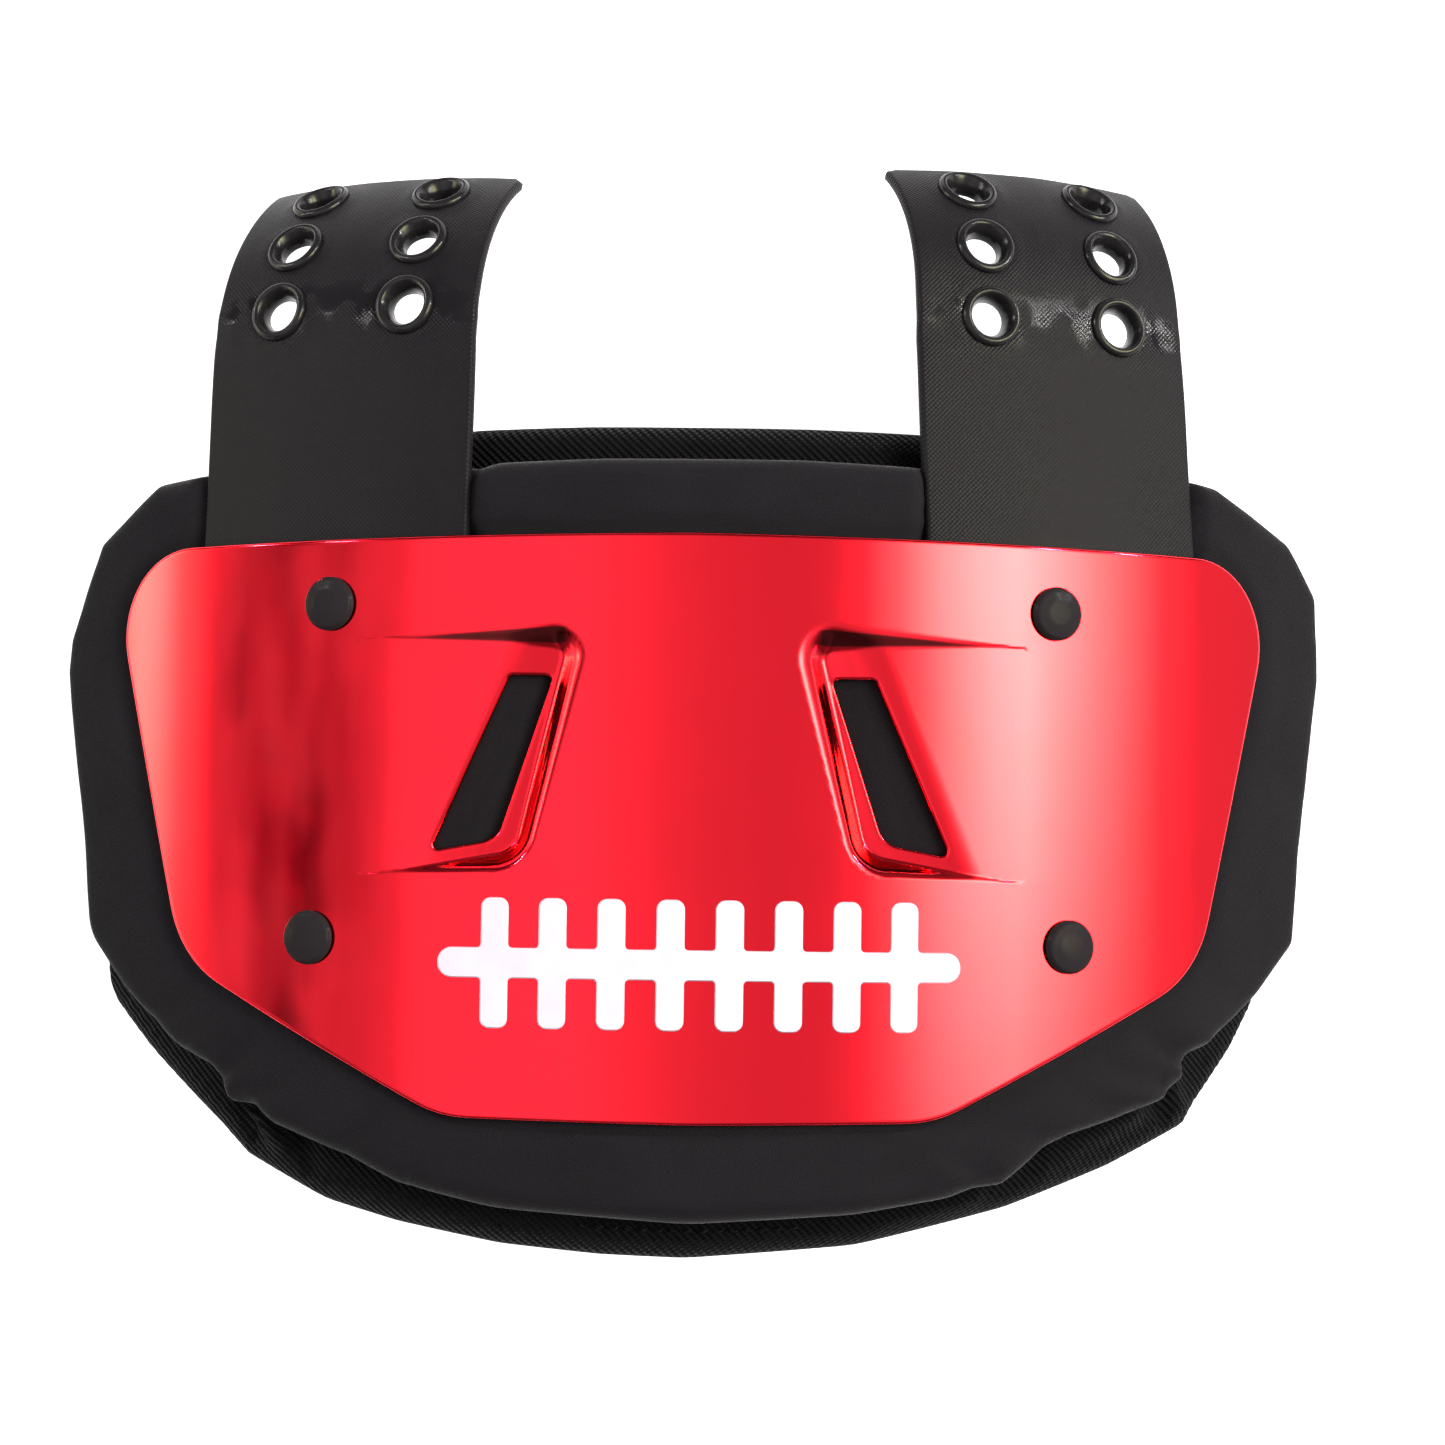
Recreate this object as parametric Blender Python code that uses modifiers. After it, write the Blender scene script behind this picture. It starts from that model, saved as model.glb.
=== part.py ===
"""Football back plate: a rolled plastic plate on two foam pads, with two perforated straps.

The model lies on its back, as it rests on a table: +Z is out of the plate's face,
+Y runs up the wearer's back towards the straps and +X is the right of the plate's face.

Every layer is drawn flat and then rolled about one upright axis. In the flat drawing
x runs along the curve of the plate's outer face, y is the height, and z is the lift off
that outer face, which is below zero for everything behind it.
"""
import math

import bmesh
import bpy
from mathutils import Matrix, Vector

# Driving dimensions, in metres and radians
CLEAR = 0.0003
WELD = 0.000001

SHELL_RADIUS = 0.235

PLATE_HALF_WIDTH = 0.153
PLATE_TOP = 0.0795
PLATE_BOTTOM = 0.0566
PLATE_THICKNESS = 0.003
PLATE_EDGE_ROUND = 0.0009
PLATE_SHOULDER_RADIUS = 0.021
PLATE_HIP_RADIUS = 0.028
PLATE_FOOT_RADIUS = 0.030

VENT_INNER = 0.0235
VENT_WIDTH = 0.0525
VENT_HEIGHT = 0.0585
VENT_DEPTH = 0.006
VENT_LIP = 0.0003
VENT_WALL_SPREAD = 0.0042
VENT_FLOOR_WALL = 0.002
VENT_SHOULDER_RADIUS = 0.007
VENT_FOOT_RADIUS = 0.010
VENT_TIP_RADIUS = 0.0015
SLOT_CORNER_RADIUS = 0.0012
SLOT_HEEL_RADIUS = 0.006

PAD_THICKNESS = 0.012
PAD_EDGE_ROUND = 0.0045
PAD_SIDE_MARGIN = 0.021
PAD_TOP_MARGIN = 0.0178
PAD_BOTTOM_MARGIN = 0.0229
PUCKER_SPREAD = 0.008
PUCKER_DEPTH = 0.0035

MESH_PAD_THICKNESS = 0.014
MESH_PAD_EDGE_ROUND = 0.005
MESH_PAD_SIDE_MARGIN = 0.0
MESH_PAD_TOP_MARGIN = 0.008
MESH_PAD_BOTTOM_MARGIN = 0.0092
REST_FLAT = 0.005
REST_FLAT_WIDTH = 0.014

STRAP_FROM_SIDE = 0.063
STRAP_WIDTH = 0.0699
STRAP_THICKNESS = 0.0026
STRAP_TUCK = 0.028
STRAP_TUCK_SHOULDER = 0.007
STRAP_TONGUE_HALF_WIDTH = 0.017
STRAP_TONGUE_LENGTH = 0.005
STRAP_ARCH_RADIUS = 0.310
STRAP_CORNER_RADIUS = 0.0012
STRAP_GROOVE_ROOM = 0.0012
STRAP_GROOVE_RAMP = 0.004

EYELET_FIRST_ROW = 0.055
EYELET_ROWS = 3
EYELET_ROW_PITCH = 0.018
EYELET_COLUMN_PITCH = 0.034
EYELET_END_MARGIN = 0.011
EYELET_HOLE_RADIUS = 0.0044
EYELET_BARREL_WALL = 0.0008
EYELET_FLANGE_RADIUS = 0.0074
EYELET_FLANGE_THICKNESS = 0.001

RIVET_HEAD_RADIUS = 0.00635
RIVET_HEAD_HEIGHT = 0.0028
RIVET_SHANK_RADIUS = 0.0025
RIVET_TAIL_RADIUS = 0.005
RIVET_TAIL_THICKNESS = 0.001
UPPER_RIVET_FROM_SIDE = 0.066
UPPER_RIVET_FROM_TOP = 0.0165
LOWER_RIVET_FROM_SIDE = 0.062
LOWER_RIVET_FROM_BOTTOM = 0.0416

# Fineness of the faceted surfaces
ROUND_SIDES = 12
EYELET_SIDES = 10
ARC_STEP = math.radians(17)
ARC_REACH = 0.45
SAME_PLANE = math.radians(0.5)
SHARP_EDGE = math.radians(40)
PLATE_SLICE = 0.012
PAD_SLICE_ACROSS = 0.018
PAD_SLICE_UP = 0.020
MESH_PAD_SLICE_UP = 0.060
STRAP_SLICE_ALONG = 0.006
STRAP_SLICES_ACROSS = 5

# Straps: side, tilt where they leave the plate, straight run, radius of the bend backwards
STRAPS = (
    ("left", -1, math.radians(4.1), 0.0465, 0.0545),
    ("right", 1, math.radians(7.5), 0.0608, 0.0449),
)

# Outlines list the right half from the top middle to the bottom middle.
# Columns: out, as a share of the half width; up, as a share of the height above the
# datum, or below it where it is negative; radius of the corner
PLATE_OUTLINE = (
    (0.000, 1.000, 0.0),
    (1.000, 0.975, PLATE_SHOULDER_RADIUS),
    (0.832, -0.370, PLATE_HIP_RADIUS),
    (0.378, -0.985, PLATE_FOOT_RADIUS),
    (0.000, -1.000, 0.0),
)
PAD_OUTLINE = (
    (0.000, 1.000, 0.0),
    (0.770, 0.980, 0.010),
    (0.920, 0.838, 0.010),
    (0.990, 0.660, 0.012),
    (1.000, 0.500, 0.012),
    (0.965, 0.190, 0.040),
    (0.950, -0.150, 0.012),
    (0.868, -0.358, 0.015),
    (0.765, -0.510, 0.008),
    (0.718, -0.585, 0.006),
    (0.690, -0.673, 0.006),
    (0.626, -0.700, 0.008),
    (0.544, -0.767, 0.012),
    (0.480, -0.815, 0.008),
    (0.425, -0.893, 0.008),
    (0.370, -0.918, 0.015),
    (0.247, -0.969, 0.060),
    (0.118, -0.993, 0.060),
    (0.000, -1.000, 0.0),
)
MESH_PAD_OUTLINE = (
    (0.000, 1.000, 0.0),
    (0.360, 0.995, 0.015),
    (0.700, 0.890, 0.025),
    (0.900, 0.770, 0.020),
    (0.985, 0.550, 0.020),
    (1.000, 0.400, 0.020),
    (1.000, -0.100, 0.030),
    (0.980, -0.330, 0.012),
    (0.908, -0.470, 0.010),
    (0.840, -0.600, 0.006),
    (0.800, -0.670, 0.006),
    (0.684, -0.767, 0.015),
    (0.520, -0.873, 0.030),
    (0.264, -0.974, 0.060),
    (0.000, -1.000, 0.0),
)
# Dents where the cover is gathered, as shares of the pad's half width and heights
PAD_PUCKERS = (
    (0.705, -0.580),
    (0.610, -0.640),
    (0.455, -0.800),
)
# Vent recess and its slot. Columns: share of the vent's width from its inner side,
# share of the vent's height from its lower tip, radius of the corner
VENT_OUTLINE = (
    (0.000, 1.000, VENT_SHOULDER_RADIUS),
    (1.000, 0.940, VENT_TIP_RADIUS),
    (0.970, 0.000, VENT_TIP_RADIUS),
    (0.290, 0.035, VENT_FOOT_RADIUS),
)
SLOT_OUTLINE = (
    (0.181, 0.790, SLOT_CORNER_RADIUS),
    (0.368, 0.790, SLOT_CORNER_RADIUS),
    (0.720, 0.095, SLOT_CORNER_RADIUS),
    (0.430, 0.140, SLOT_HEEL_RADIUS),
)
# Rivet dome, as shares of the head's radius and height, from its middle to its rim
RIVET_DOME = (
    (0.00, 1.00),
    (0.45, 0.90),
    (0.80, 0.62),
    (1.00, 0.25),
)
# Rounding of an eyelet's flange, as shares of its thickness: the swell round the hole,
# and how far the flat top stops short of the rim
EYELET_SWELL = 0.3
EYELET_BEVEL = 0.9

# Sizes that follow from the ones above
STRAP_CENTRE = PLATE_HALF_WIDTH - STRAP_FROM_SIDE
UPPER_RIVET_OUT = PLATE_HALF_WIDTH - UPPER_RIVET_FROM_SIDE
UPPER_RIVET_UP = PLATE_TOP - UPPER_RIVET_FROM_TOP
LOWER_RIVET_OUT = PLATE_HALF_WIDTH - LOWER_RIVET_FROM_SIDE
LOWER_RIVET_UP = LOWER_RIVET_FROM_BOTTOM - PLATE_BOTTOM
PAD_HALF_WIDTH = PLATE_HALF_WIDTH + PAD_SIDE_MARGIN
PAD_TOP = PLATE_TOP + PAD_TOP_MARGIN
PAD_BOTTOM = PLATE_BOTTOM + PAD_BOTTOM_MARGIN
MESH_PAD_HALF_WIDTH = PAD_HALF_WIDTH + MESH_PAD_SIDE_MARGIN
MESH_PAD_TOP = PAD_TOP + MESH_PAD_TOP_MARGIN
MESH_PAD_BOTTOM = PAD_BOTTOM + MESH_PAD_BOTTOM_MARGIN

PAD_FRONT = -PLATE_THICKNESS - CLEAR
PAD_BACK = PAD_FRONT - PAD_THICKNESS
MESH_PAD_FRONT = PAD_BACK - CLEAR
MESH_PAD_BACK = MESH_PAD_FRONT - MESH_PAD_THICKNESS
STRAP_MIDDLE = PAD_FRONT - STRAP_THICKNESS / 2
STRAP_BACK = PAD_FRONT - STRAP_THICKNESS
STRAP_FREE_LENGTH = EYELET_FIRST_ROW + (EYELET_ROWS - 1) * EYELET_ROW_PITCH + EYELET_END_MARGIN
EYELET_BARREL_RADIUS = EYELET_HOLE_RADIUS + EYELET_BARREL_WALL
EYELET_SEAT = STRAP_THICKNESS / 2 + CLEAR
VENT_SLOPE = (VENT_DEPTH - VENT_LIP) / VENT_WIDTH
RIVETS = (
    ("upper", UPPER_RIVET_OUT, UPPER_RIVET_UP, -STRAP_BACK),
    ("lower", LOWER_RIVET_OUT, LOWER_RIVET_UP, PLATE_THICKNESS),
)
SIDES = (("left", -1), ("right", 1))


def clear_scene():
    for item in list(bpy.data.objects):
        bpy.data.objects.remove(item, do_unlink=True)


def make_material(name, colour, roughness, metallic):
    material = bpy.data.materials.new(name)
    material.use_nodes = True
    shader = material.node_tree.nodes["Principled BSDF"]
    shader.inputs["Base Color"].default_value = (*colour, 1.0)
    shader.inputs["Roughness"].default_value = roughness
    shader.inputs["Metallic"].default_value = metallic
    return material


def rounded(corners):
    """The closed outline through corners (x, y, radius), each turned on its own arc."""
    points = []
    count = len(corners)
    for index, (x, y, radius) in enumerate(corners):
        corner = Vector((x, y))
        if radius <= 0.0:
            points.append(corner)
            continue
        before = Vector(corners[index - 1][:2]) - corner
        after = Vector(corners[(index + 1) % count][:2]) - corner
        half = before.angle(after) / 2
        reach = min(radius / math.tan(half), ARC_REACH * before.length, ARC_REACH * after.length)
        start = corner + before.normalized() * reach
        end = corner + after.normalized() * reach
        middle = corner + (before.normalized() + after.normalized()).normalized() * (reach / math.cos(half))
        first = start - middle
        turn = first.angle_signed(end - middle)
        steps = max(1, round(abs(turn) / ARC_STEP))
        for step in range(steps + 1):
            spoke = first.copy()
            spoke.rotate(Matrix.Rotation(-turn * step / steps, 2))
            points.append(middle + spoke)
    return points


def whole_outline(rows, half_width, top, bottom):
    """Both halves of an outline table, running clockwise from the top middle."""
    right = [(out * half_width, up * (top if up > 0 else bottom), radius) for out, up, radius in rows]
    left = [(-x, y, radius) for x, y, radius in reversed(right[1:-1])]
    return rounded(right + left)


def link(item, collection):
    collection.objects.link(item)
    return item


def mesh_of(item):
    """The evaluated mesh of an object, which is then removed."""
    graph = bpy.context.evaluated_depsgraph_get()
    mesh = bpy.data.meshes.new_from_object(item.evaluated_get(graph))
    mesh.transform(item.matrix_world)
    bpy.data.objects.remove(item, do_unlink=True)
    return mesh


def flat_panel(outline, top, bottom, edge_round, collection):
    """A flat sheet of the outline between two lifts, with rounded rims, as a mesh object."""
    curve = bpy.data.curves.new("outline", "CURVE")
    curve.dimensions = "2D"
    curve.fill_mode = "BOTH"
    curve.extrude = (top - bottom) / 2 - edge_round
    curve.bevel_depth = edge_round
    curve.bevel_resolution = 1
    curve.offset = -edge_round
    spline = curve.splines.new("POLY")
    spline.points.add(len(outline) - 1)
    for point, place in zip(spline.points, outline):
        point.co = (place.x, place.y, 0.0, 1.0)
    spline.use_cyclic_u = True
    drawn = link(bpy.data.objects.new("outline", curve), collection)
    drawn.location.z = (top + bottom) / 2
    bpy.context.view_layer.update()
    mesh = mesh_of(drawn)
    bpy.data.curves.remove(curve)
    shape = bmesh.new()
    shape.from_mesh(mesh)
    bmesh.ops.remove_doubles(shape, verts=shape.verts, dist=WELD)
    bmesh.ops.recalc_face_normals(shape, faces=shape.faces)
    shape.to_mesh(mesh)
    shape.free()
    return link(bpy.data.objects.new("panel", mesh), collection)


def combine(target, tool, operation, collection):
    """Target after one Boolean with the tool. Both objects are used up."""
    step = target.modifiers.new(operation.lower(), "BOOLEAN")
    step.operation = operation
    step.object = tool
    bpy.context.view_layer.update()
    result = link(bpy.data.objects.new("panel", mesh_of(target)), collection)
    bpy.data.objects.remove(tool, do_unlink=True)
    return result


def as_cutter(mesh, name, collection):
    tool = link(bpy.data.objects.new(name, mesh), collection)
    tool.hide_render = True
    tool.display_type = "WIRE"
    return tool


def round_cutter(x, y, radius, top, bottom, collection):
    shape = bmesh.new()
    place = Matrix.Translation((x, y, (top + bottom) / 2))
    bmesh.ops.create_cone(shape, cap_ends=True, segments=ROUND_SIDES, radius1=radius,
                          radius2=radius, depth=top - bottom, matrix=place)
    mesh = bpy.data.meshes.new("round cutter")
    shape.to_mesh(mesh)
    shape.free()
    return as_cutter(mesh, "round cutter", collection)


def loft(rings):
    """A closed solid through rings of equally many points, with flat ends."""
    shape = bmesh.new()
    loops = []
    for ring in rings:
        points = [shape.verts.new(point) for point in ring]
        loops.append([shape.edges.new((points[i - 1], points[i])) for i in range(len(points))])
    for lower, upper in zip(loops, loops[1:]):
        bmesh.ops.bridge_loops(shape, edges=lower + upper)
    bmesh.ops.holes_fill(shape, edges=loops[0])
    bmesh.ops.holes_fill(shape, edges=loops[-1])
    bmesh.ops.recalc_face_normals(shape, faces=shape.faces)
    mesh = bpy.data.meshes.new("loft")
    shape.to_mesh(mesh)
    shape.free()
    return mesh


def vent_outline(rows, side):
    corners = []
    for out, up, radius in rows:
        corners.append((side * (VENT_INNER + out * VENT_WIDTH), up * VENT_HEIGHT, radius))
    return rounded(corners if side > 0 else corners[::-1])


def grown(outline, distances):
    """A clockwise outline with each point moved outwards by its own distance."""
    moved = []
    count = len(outline)
    for index, point in enumerate(outline):
        along = (outline[(index + 1) % count] - outline[index - 1]).normalized()
        moved.append(point + Vector((-along.y, along.x)) * distances[index])
    return moved


def vent_depth(x):
    """Depth of the recess floor: a lip at the outer side, deepest at the inner wall."""
    return VENT_LIP + VENT_SLOPE * max(0.0, VENT_INNER + VENT_WIDTH - abs(x))


def vent_solid(side, growth, extra_depth, top):
    """The recess as a solid, grown sideways and downwards by a wall or a clearance."""
    outline = vent_outline(VENT_OUTLINE, side)
    depths = [vent_depth(point.x) for point in outline]
    rim = grown(outline, [growth] * len(outline))
    foot = grown(outline, [growth - VENT_WALL_SPREAD * depth / VENT_DEPTH for depth in depths])
    floor = [(point.x, point.y, -vent_depth(point.x) - extra_depth) for point in foot]
    rings = [[(point.x, point.y, top) for point in rim], floor]
    if top > 0:
        rings.insert(1, [(point.x, point.y, 0.0) for point in rim])
    return loft(rings)


def slot_solid(side):
    outline = vent_outline(SLOT_OUTLINE, side)
    below = -VENT_DEPTH - 2 * VENT_FLOOR_WALL
    return loft([[(p.x, p.y, PLATE_THICKNESS) for p in outline], [(p.x, p.y, below) for p in outline]])


def sliced(mesh, across, along):
    """Cuts a flat mesh along lines of constant x and y, so that it can be bent."""
    shape = bmesh.new()
    shape.from_mesh(mesh)
    bmesh.ops.dissolve_limit(shape, angle_limit=SAME_PLANE, verts=shape.verts, edges=shape.edges)
    for values, normal in ((across, (1, 0, 0)), (along, (0, 1, 0))):
        for value in values:
            everything = shape.verts[:] + shape.edges[:] + shape.faces[:]
            bmesh.ops.bisect_plane(shape, geom=everything, plane_no=normal, dist=WELD,
                                   plane_co=Vector(normal) * value)
    bmesh.ops.remove_doubles(shape, verts=shape.verts, dist=2 * WELD)
    bmesh.ops.dissolve_degenerate(shape, edges=shape.edges, dist=WELD)
    bmesh.ops.triangulate(shape, faces=shape.faces)
    shape.to_mesh(mesh)
    shape.free()
    return mesh


def steps_between(low, high, step):
    count = max(1, round((high - low) / step))
    return [low + (high - low) * index / count for index in range(count + 1)]


def bent(mesh, place):
    """Moves every point of a flat mesh to place(x, y, lift)."""
    for vertex in mesh.vertices:
        vertex.co = place(*vertex.co)
    mesh.update()
    return mesh


def on_shell(x, y, lift):
    angle = x / SHELL_RADIUS
    radius = SHELL_RADIUS + lift
    return Vector((radius * math.sin(angle), y, radius * math.cos(angle) - SHELL_RADIUS))


def smooth_step(value):
    value = min(1.0, max(0.0, value))
    return value * value * (3 - 2 * value)


def strap_run(strap, along):
    """Rise, fall behind the plate's level and tilt of a strap at a length from the plate."""
    tilt, straight, bend = strap[2:]
    if along <= 0:
        return along, 0.0, 0.0
    if along <= straight:
        return along * math.cos(tilt), along * math.sin(tilt), tilt
    angle = tilt + (along - straight) / bend
    rise = straight * math.cos(tilt) + bend * (math.sin(angle) - math.sin(tilt))
    fall = straight * math.sin(tilt) + bend * (math.cos(tilt) - math.cos(angle))
    return rise, fall, angle


def on_strap(strap, across, along, lift):
    """Place of a point of a strap: across and along it, and lifted off its middle face."""
    angle = strap[1] * STRAP_CENTRE / SHELL_RADIUS
    outwards = Vector((math.sin(angle), 0.0, math.cos(angle)))
    sideways = Vector((math.cos(angle), 0.0, -math.sin(angle)))
    upwards = Vector((0.0, 1.0, 0.0))
    rise, fall, tilt = strap_run(strap, along)
    shell_arch = SHELL_RADIUS + STRAP_MIDDLE
    arch = shell_arch + (STRAP_ARCH_RADIUS - shell_arch) * smooth_step(along / strap[3])
    facing = outwards * math.cos(tilt) + upwards * math.sin(tilt)
    base = on_shell(strap[1] * STRAP_CENTRE, PLATE_TOP, STRAP_MIDDLE)
    return (base + upwards * rise - outwards * fall + sideways * across
            + facing * (lift - across * across / (2 * arch)))


def finish(mesh, name, material, collection, root):
    mesh.name = name
    mesh.materials.clear()
    mesh.materials.append(material)
    mesh.shade_smooth()
    mesh.set_sharp_from_angle(angle=SHARP_EDGE)
    item = link(bpy.data.objects.new(name, mesh), collection)
    item.parent = root
    return item


def make_plate(material, collection, root, cutters):
    outline = whole_outline(PLATE_OUTLINE, PLATE_HALF_WIDTH, PLATE_TOP, PLATE_BOTTOM)
    panel = flat_panel(outline, 0.0, -PLATE_THICKNESS, PLATE_EDGE_ROUND, cutters)
    for _, side in SIDES:
        pocket = vent_solid(side, VENT_FLOOR_WALL, VENT_FLOOR_WALL, -PLATE_THICKNESS / 2)
        panel = combine(panel, as_cutter(pocket, "vent pocket", cutters), "UNION", cutters)
    for _, side in SIDES:
        recess = vent_solid(side, 0.0, 0.0, PLATE_THICKNESS)
        panel = combine(panel, as_cutter(recess, "vent recess", cutters), "DIFFERENCE", cutters)
        slot = as_cutter(slot_solid(side), "vent slot", cutters)
        panel = combine(panel, slot, "DIFFERENCE", cutters)
        for _, out, up, _ in RIVETS:
            hole = round_cutter(side * out, up, RIVET_SHANK_RADIUS + CLEAR,
                                PLATE_THICKNESS, -2 * PLATE_THICKNESS, cutters)
            panel = combine(panel, hole, "DIFFERENCE", cutters)
    across = steps_between(-PLATE_HALF_WIDTH, PLATE_HALF_WIDTH, PLATE_SLICE)
    mesh = bent(sliced(mesh_of(panel), across, ()), on_shell)
    return finish(mesh, "back_plate", material, collection, root)


def groove_press(x, y):
    """How far a strap presses the front pad in at a point of the flat drawing."""
    press = 0.0
    for strap in STRAPS:
        along = y - PLATE_TOP
        inside = STRAP_WIDTH / 2 + STRAP_GROOVE_ROOM - abs(x - strap[1] * STRAP_CENTRE)
        sideways = min(1.0, max(0.0, 1 + inside / STRAP_GROOVE_RAMP))
        upwards = min(1.0, max(0.0, 1 + (along + STRAP_TUCK + CLEAR) / STRAP_GROOVE_RAMP))
        depth = STRAP_THICKNESS + CLEAR + strap_run(strap, max(0.0, along))[1]
        press = max(press, depth * sideways * upwards)
    return press


def pucker_press(x, y):
    press = 0.0
    for out, up in PAD_PUCKERS:
        gap = math.hypot(abs(x) - out * PAD_HALF_WIDTH, y - up * PAD_BOTTOM)
        press += PUCKER_DEPTH * math.exp(-(gap / PUCKER_SPREAD) ** 2)
    return press


def on_front_pad(x, y, lift):
    share = (lift - PAD_BACK) / PAD_THICKNESS
    return on_shell(x, y, lift - share * (groove_press(x, y) + pucker_press(x, y)))


def make_front_pad(material, collection, root, cutters):
    outline = whole_outline(PAD_OUTLINE, PAD_HALF_WIDTH, PAD_TOP, PAD_BOTTOM)
    panel = flat_panel(outline, PAD_FRONT, PAD_BACK, PAD_EDGE_ROUND, cutters)
    for _, side in SIDES:
        room = vent_solid(side, VENT_FLOOR_WALL + 2 * CLEAR, VENT_FLOOR_WALL + 2 * CLEAR, 0.0)
        panel = combine(panel, as_cutter(room, "vent room", cutters), "DIFFERENCE", cutters)
        for _, out, up, grip in RIVETS:
            bottom = -grip - CLEAR - RIVET_TAIL_THICKNESS - CLEAR
            hole = round_cutter(side * out, up, RIVET_TAIL_RADIUS + CLEAR, 0.0, bottom, cutters)
            panel = combine(panel, hole, "DIFFERENCE", cutters)
    across = steps_between(-PAD_HALF_WIDTH, PAD_HALF_WIDTH, PAD_SLICE_ACROSS)
    half = STRAP_WIDTH / 2 + STRAP_GROOVE_ROOM
    for reach in (half, half + STRAP_GROOVE_RAMP):
        across += [side * STRAP_CENTRE - reach for _, side in SIDES]
        across += [side * STRAP_CENTRE + reach for _, side in SIDES]
    tuck = PLATE_TOP - STRAP_TUCK - CLEAR
    along = steps_between(-PAD_BOTTOM, PAD_TOP, PAD_SLICE_UP) + [tuck, tuck - STRAP_GROOVE_RAMP, PLATE_TOP]
    mesh = bent(sliced(mesh_of(panel), across, along), on_front_pad)
    return finish(mesh, "front_pad", material, collection, root)


def resting_height():
    """Height at which the mesh pad's side rims are pressed flat by the table."""
    rim = on_shell(MESH_PAD_HALF_WIDTH, 0.0, MESH_PAD_BACK)
    return rim.z + REST_FLAT


def on_mesh_pad(x, y, lift):
    place = on_shell(x, y, lift)
    place.z = max(place.z, resting_height())
    return place


def make_mesh_pad(material, collection, root, cutters):
    outline = whole_outline(MESH_PAD_OUTLINE, MESH_PAD_HALF_WIDTH, MESH_PAD_TOP, MESH_PAD_BOTTOM)
    panel = flat_panel(outline, MESH_PAD_FRONT, MESH_PAD_BACK, MESH_PAD_EDGE_ROUND, cutters)
    across = steps_between(-MESH_PAD_HALF_WIDTH, MESH_PAD_HALF_WIDTH, PAD_SLICE_ACROSS)
    for inwards in (REST_FLAT_WIDTH / 2, REST_FLAT_WIDTH):
        across += [side * (MESH_PAD_HALF_WIDTH - inwards) for _, side in SIDES]
    along = steps_between(-MESH_PAD_BOTTOM, MESH_PAD_TOP, MESH_PAD_SLICE_UP)
    mesh = bent(sliced(mesh_of(panel), across, along), on_mesh_pad)
    return finish(mesh, "mesh_pad", material, collection, root)


def rivet_on_strap(strap):
    """Where the upper rivet crosses its strap, across and along the strap."""
    out = strap[1] * (UPPER_RIVET_OUT - STRAP_CENTRE)
    return out * (SHELL_RADIUS + STRAP_MIDDLE) / SHELL_RADIUS, UPPER_RIVET_UP - PLATE_TOP


def eyelet_places():
    """Number, row and place across and along a strap of each of its eyelets."""
    for row in range(EYELET_ROWS):
        for column in range(2):
            across = (column - 0.5) * EYELET_COLUMN_PITCH
            yield row + 1, column + 1, across, EYELET_FIRST_ROW + row * EYELET_ROW_PITCH


def make_strap(strap, material, collection, root, cutters):
    half = STRAP_WIDTH / 2
    tongue = STRAP_TONGUE_HALF_WIDTH
    right = (
        (half, STRAP_FREE_LENGTH, STRAP_CORNER_RADIUS),
        (half, -STRAP_TUCK_SHOULDER, 0.0),
        (tongue, STRAP_TONGUE_LENGTH - STRAP_TUCK, 0.0),
        (tongue, -STRAP_TUCK, STRAP_CORNER_RADIUS),
    )
    left = [(-x, y, radius) for x, y, radius in reversed(right)]
    outline = rounded(list(right) + left)
    panel = flat_panel(outline, STRAP_THICKNESS / 2, -STRAP_THICKNESS / 2, 0.0, cutters)
    holes = [(across, along, EYELET_BARREL_RADIUS + CLEAR) for _, _, across, along in eyelet_places()]
    holes.append((*rivet_on_strap(strap), RIVET_SHANK_RADIUS + CLEAR))
    for across, along, radius in holes:
        hole = round_cutter(across, along, radius, STRAP_THICKNESS, -STRAP_THICKNESS, cutters)
        panel = combine(panel, hole, "DIFFERENCE", cutters)
    lines_across = steps_between(-half, half, STRAP_WIDTH / STRAP_SLICES_ACROSS)[1:-1]
    lines_along = steps_between(-STRAP_TUCK, STRAP_FREE_LENGTH, STRAP_SLICE_ALONG)[1:-1]
    mesh = sliced(mesh_of(panel), lines_across, lines_along)
    mesh = bent(mesh, lambda x, y, lift: on_strap(strap, x, y, lift))
    return finish(mesh, "strap_" + strap[0], material, collection, root)


def turned(profile, sides, closed):
    """A turned solid: the profile of (radius, height) runs down its outer side."""
    mesh = bpy.data.meshes.new("profile")
    points = [(radius, 0.0, height) for radius, height in profile]
    edges = [(index, index + 1) for index in range(len(points) - 1)]
    if closed:
        edges.append((len(points) - 1, 0))
    mesh.from_pydata(points, edges, [])
    item = bpy.data.objects.new("turned", mesh)
    screw = item.modifiers.new("turn", "SCREW")
    screw.steps = sides
    screw.render_steps = sides
    screw.use_merge_vertices = True
    screw.merge_threshold = WELD
    return item


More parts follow.
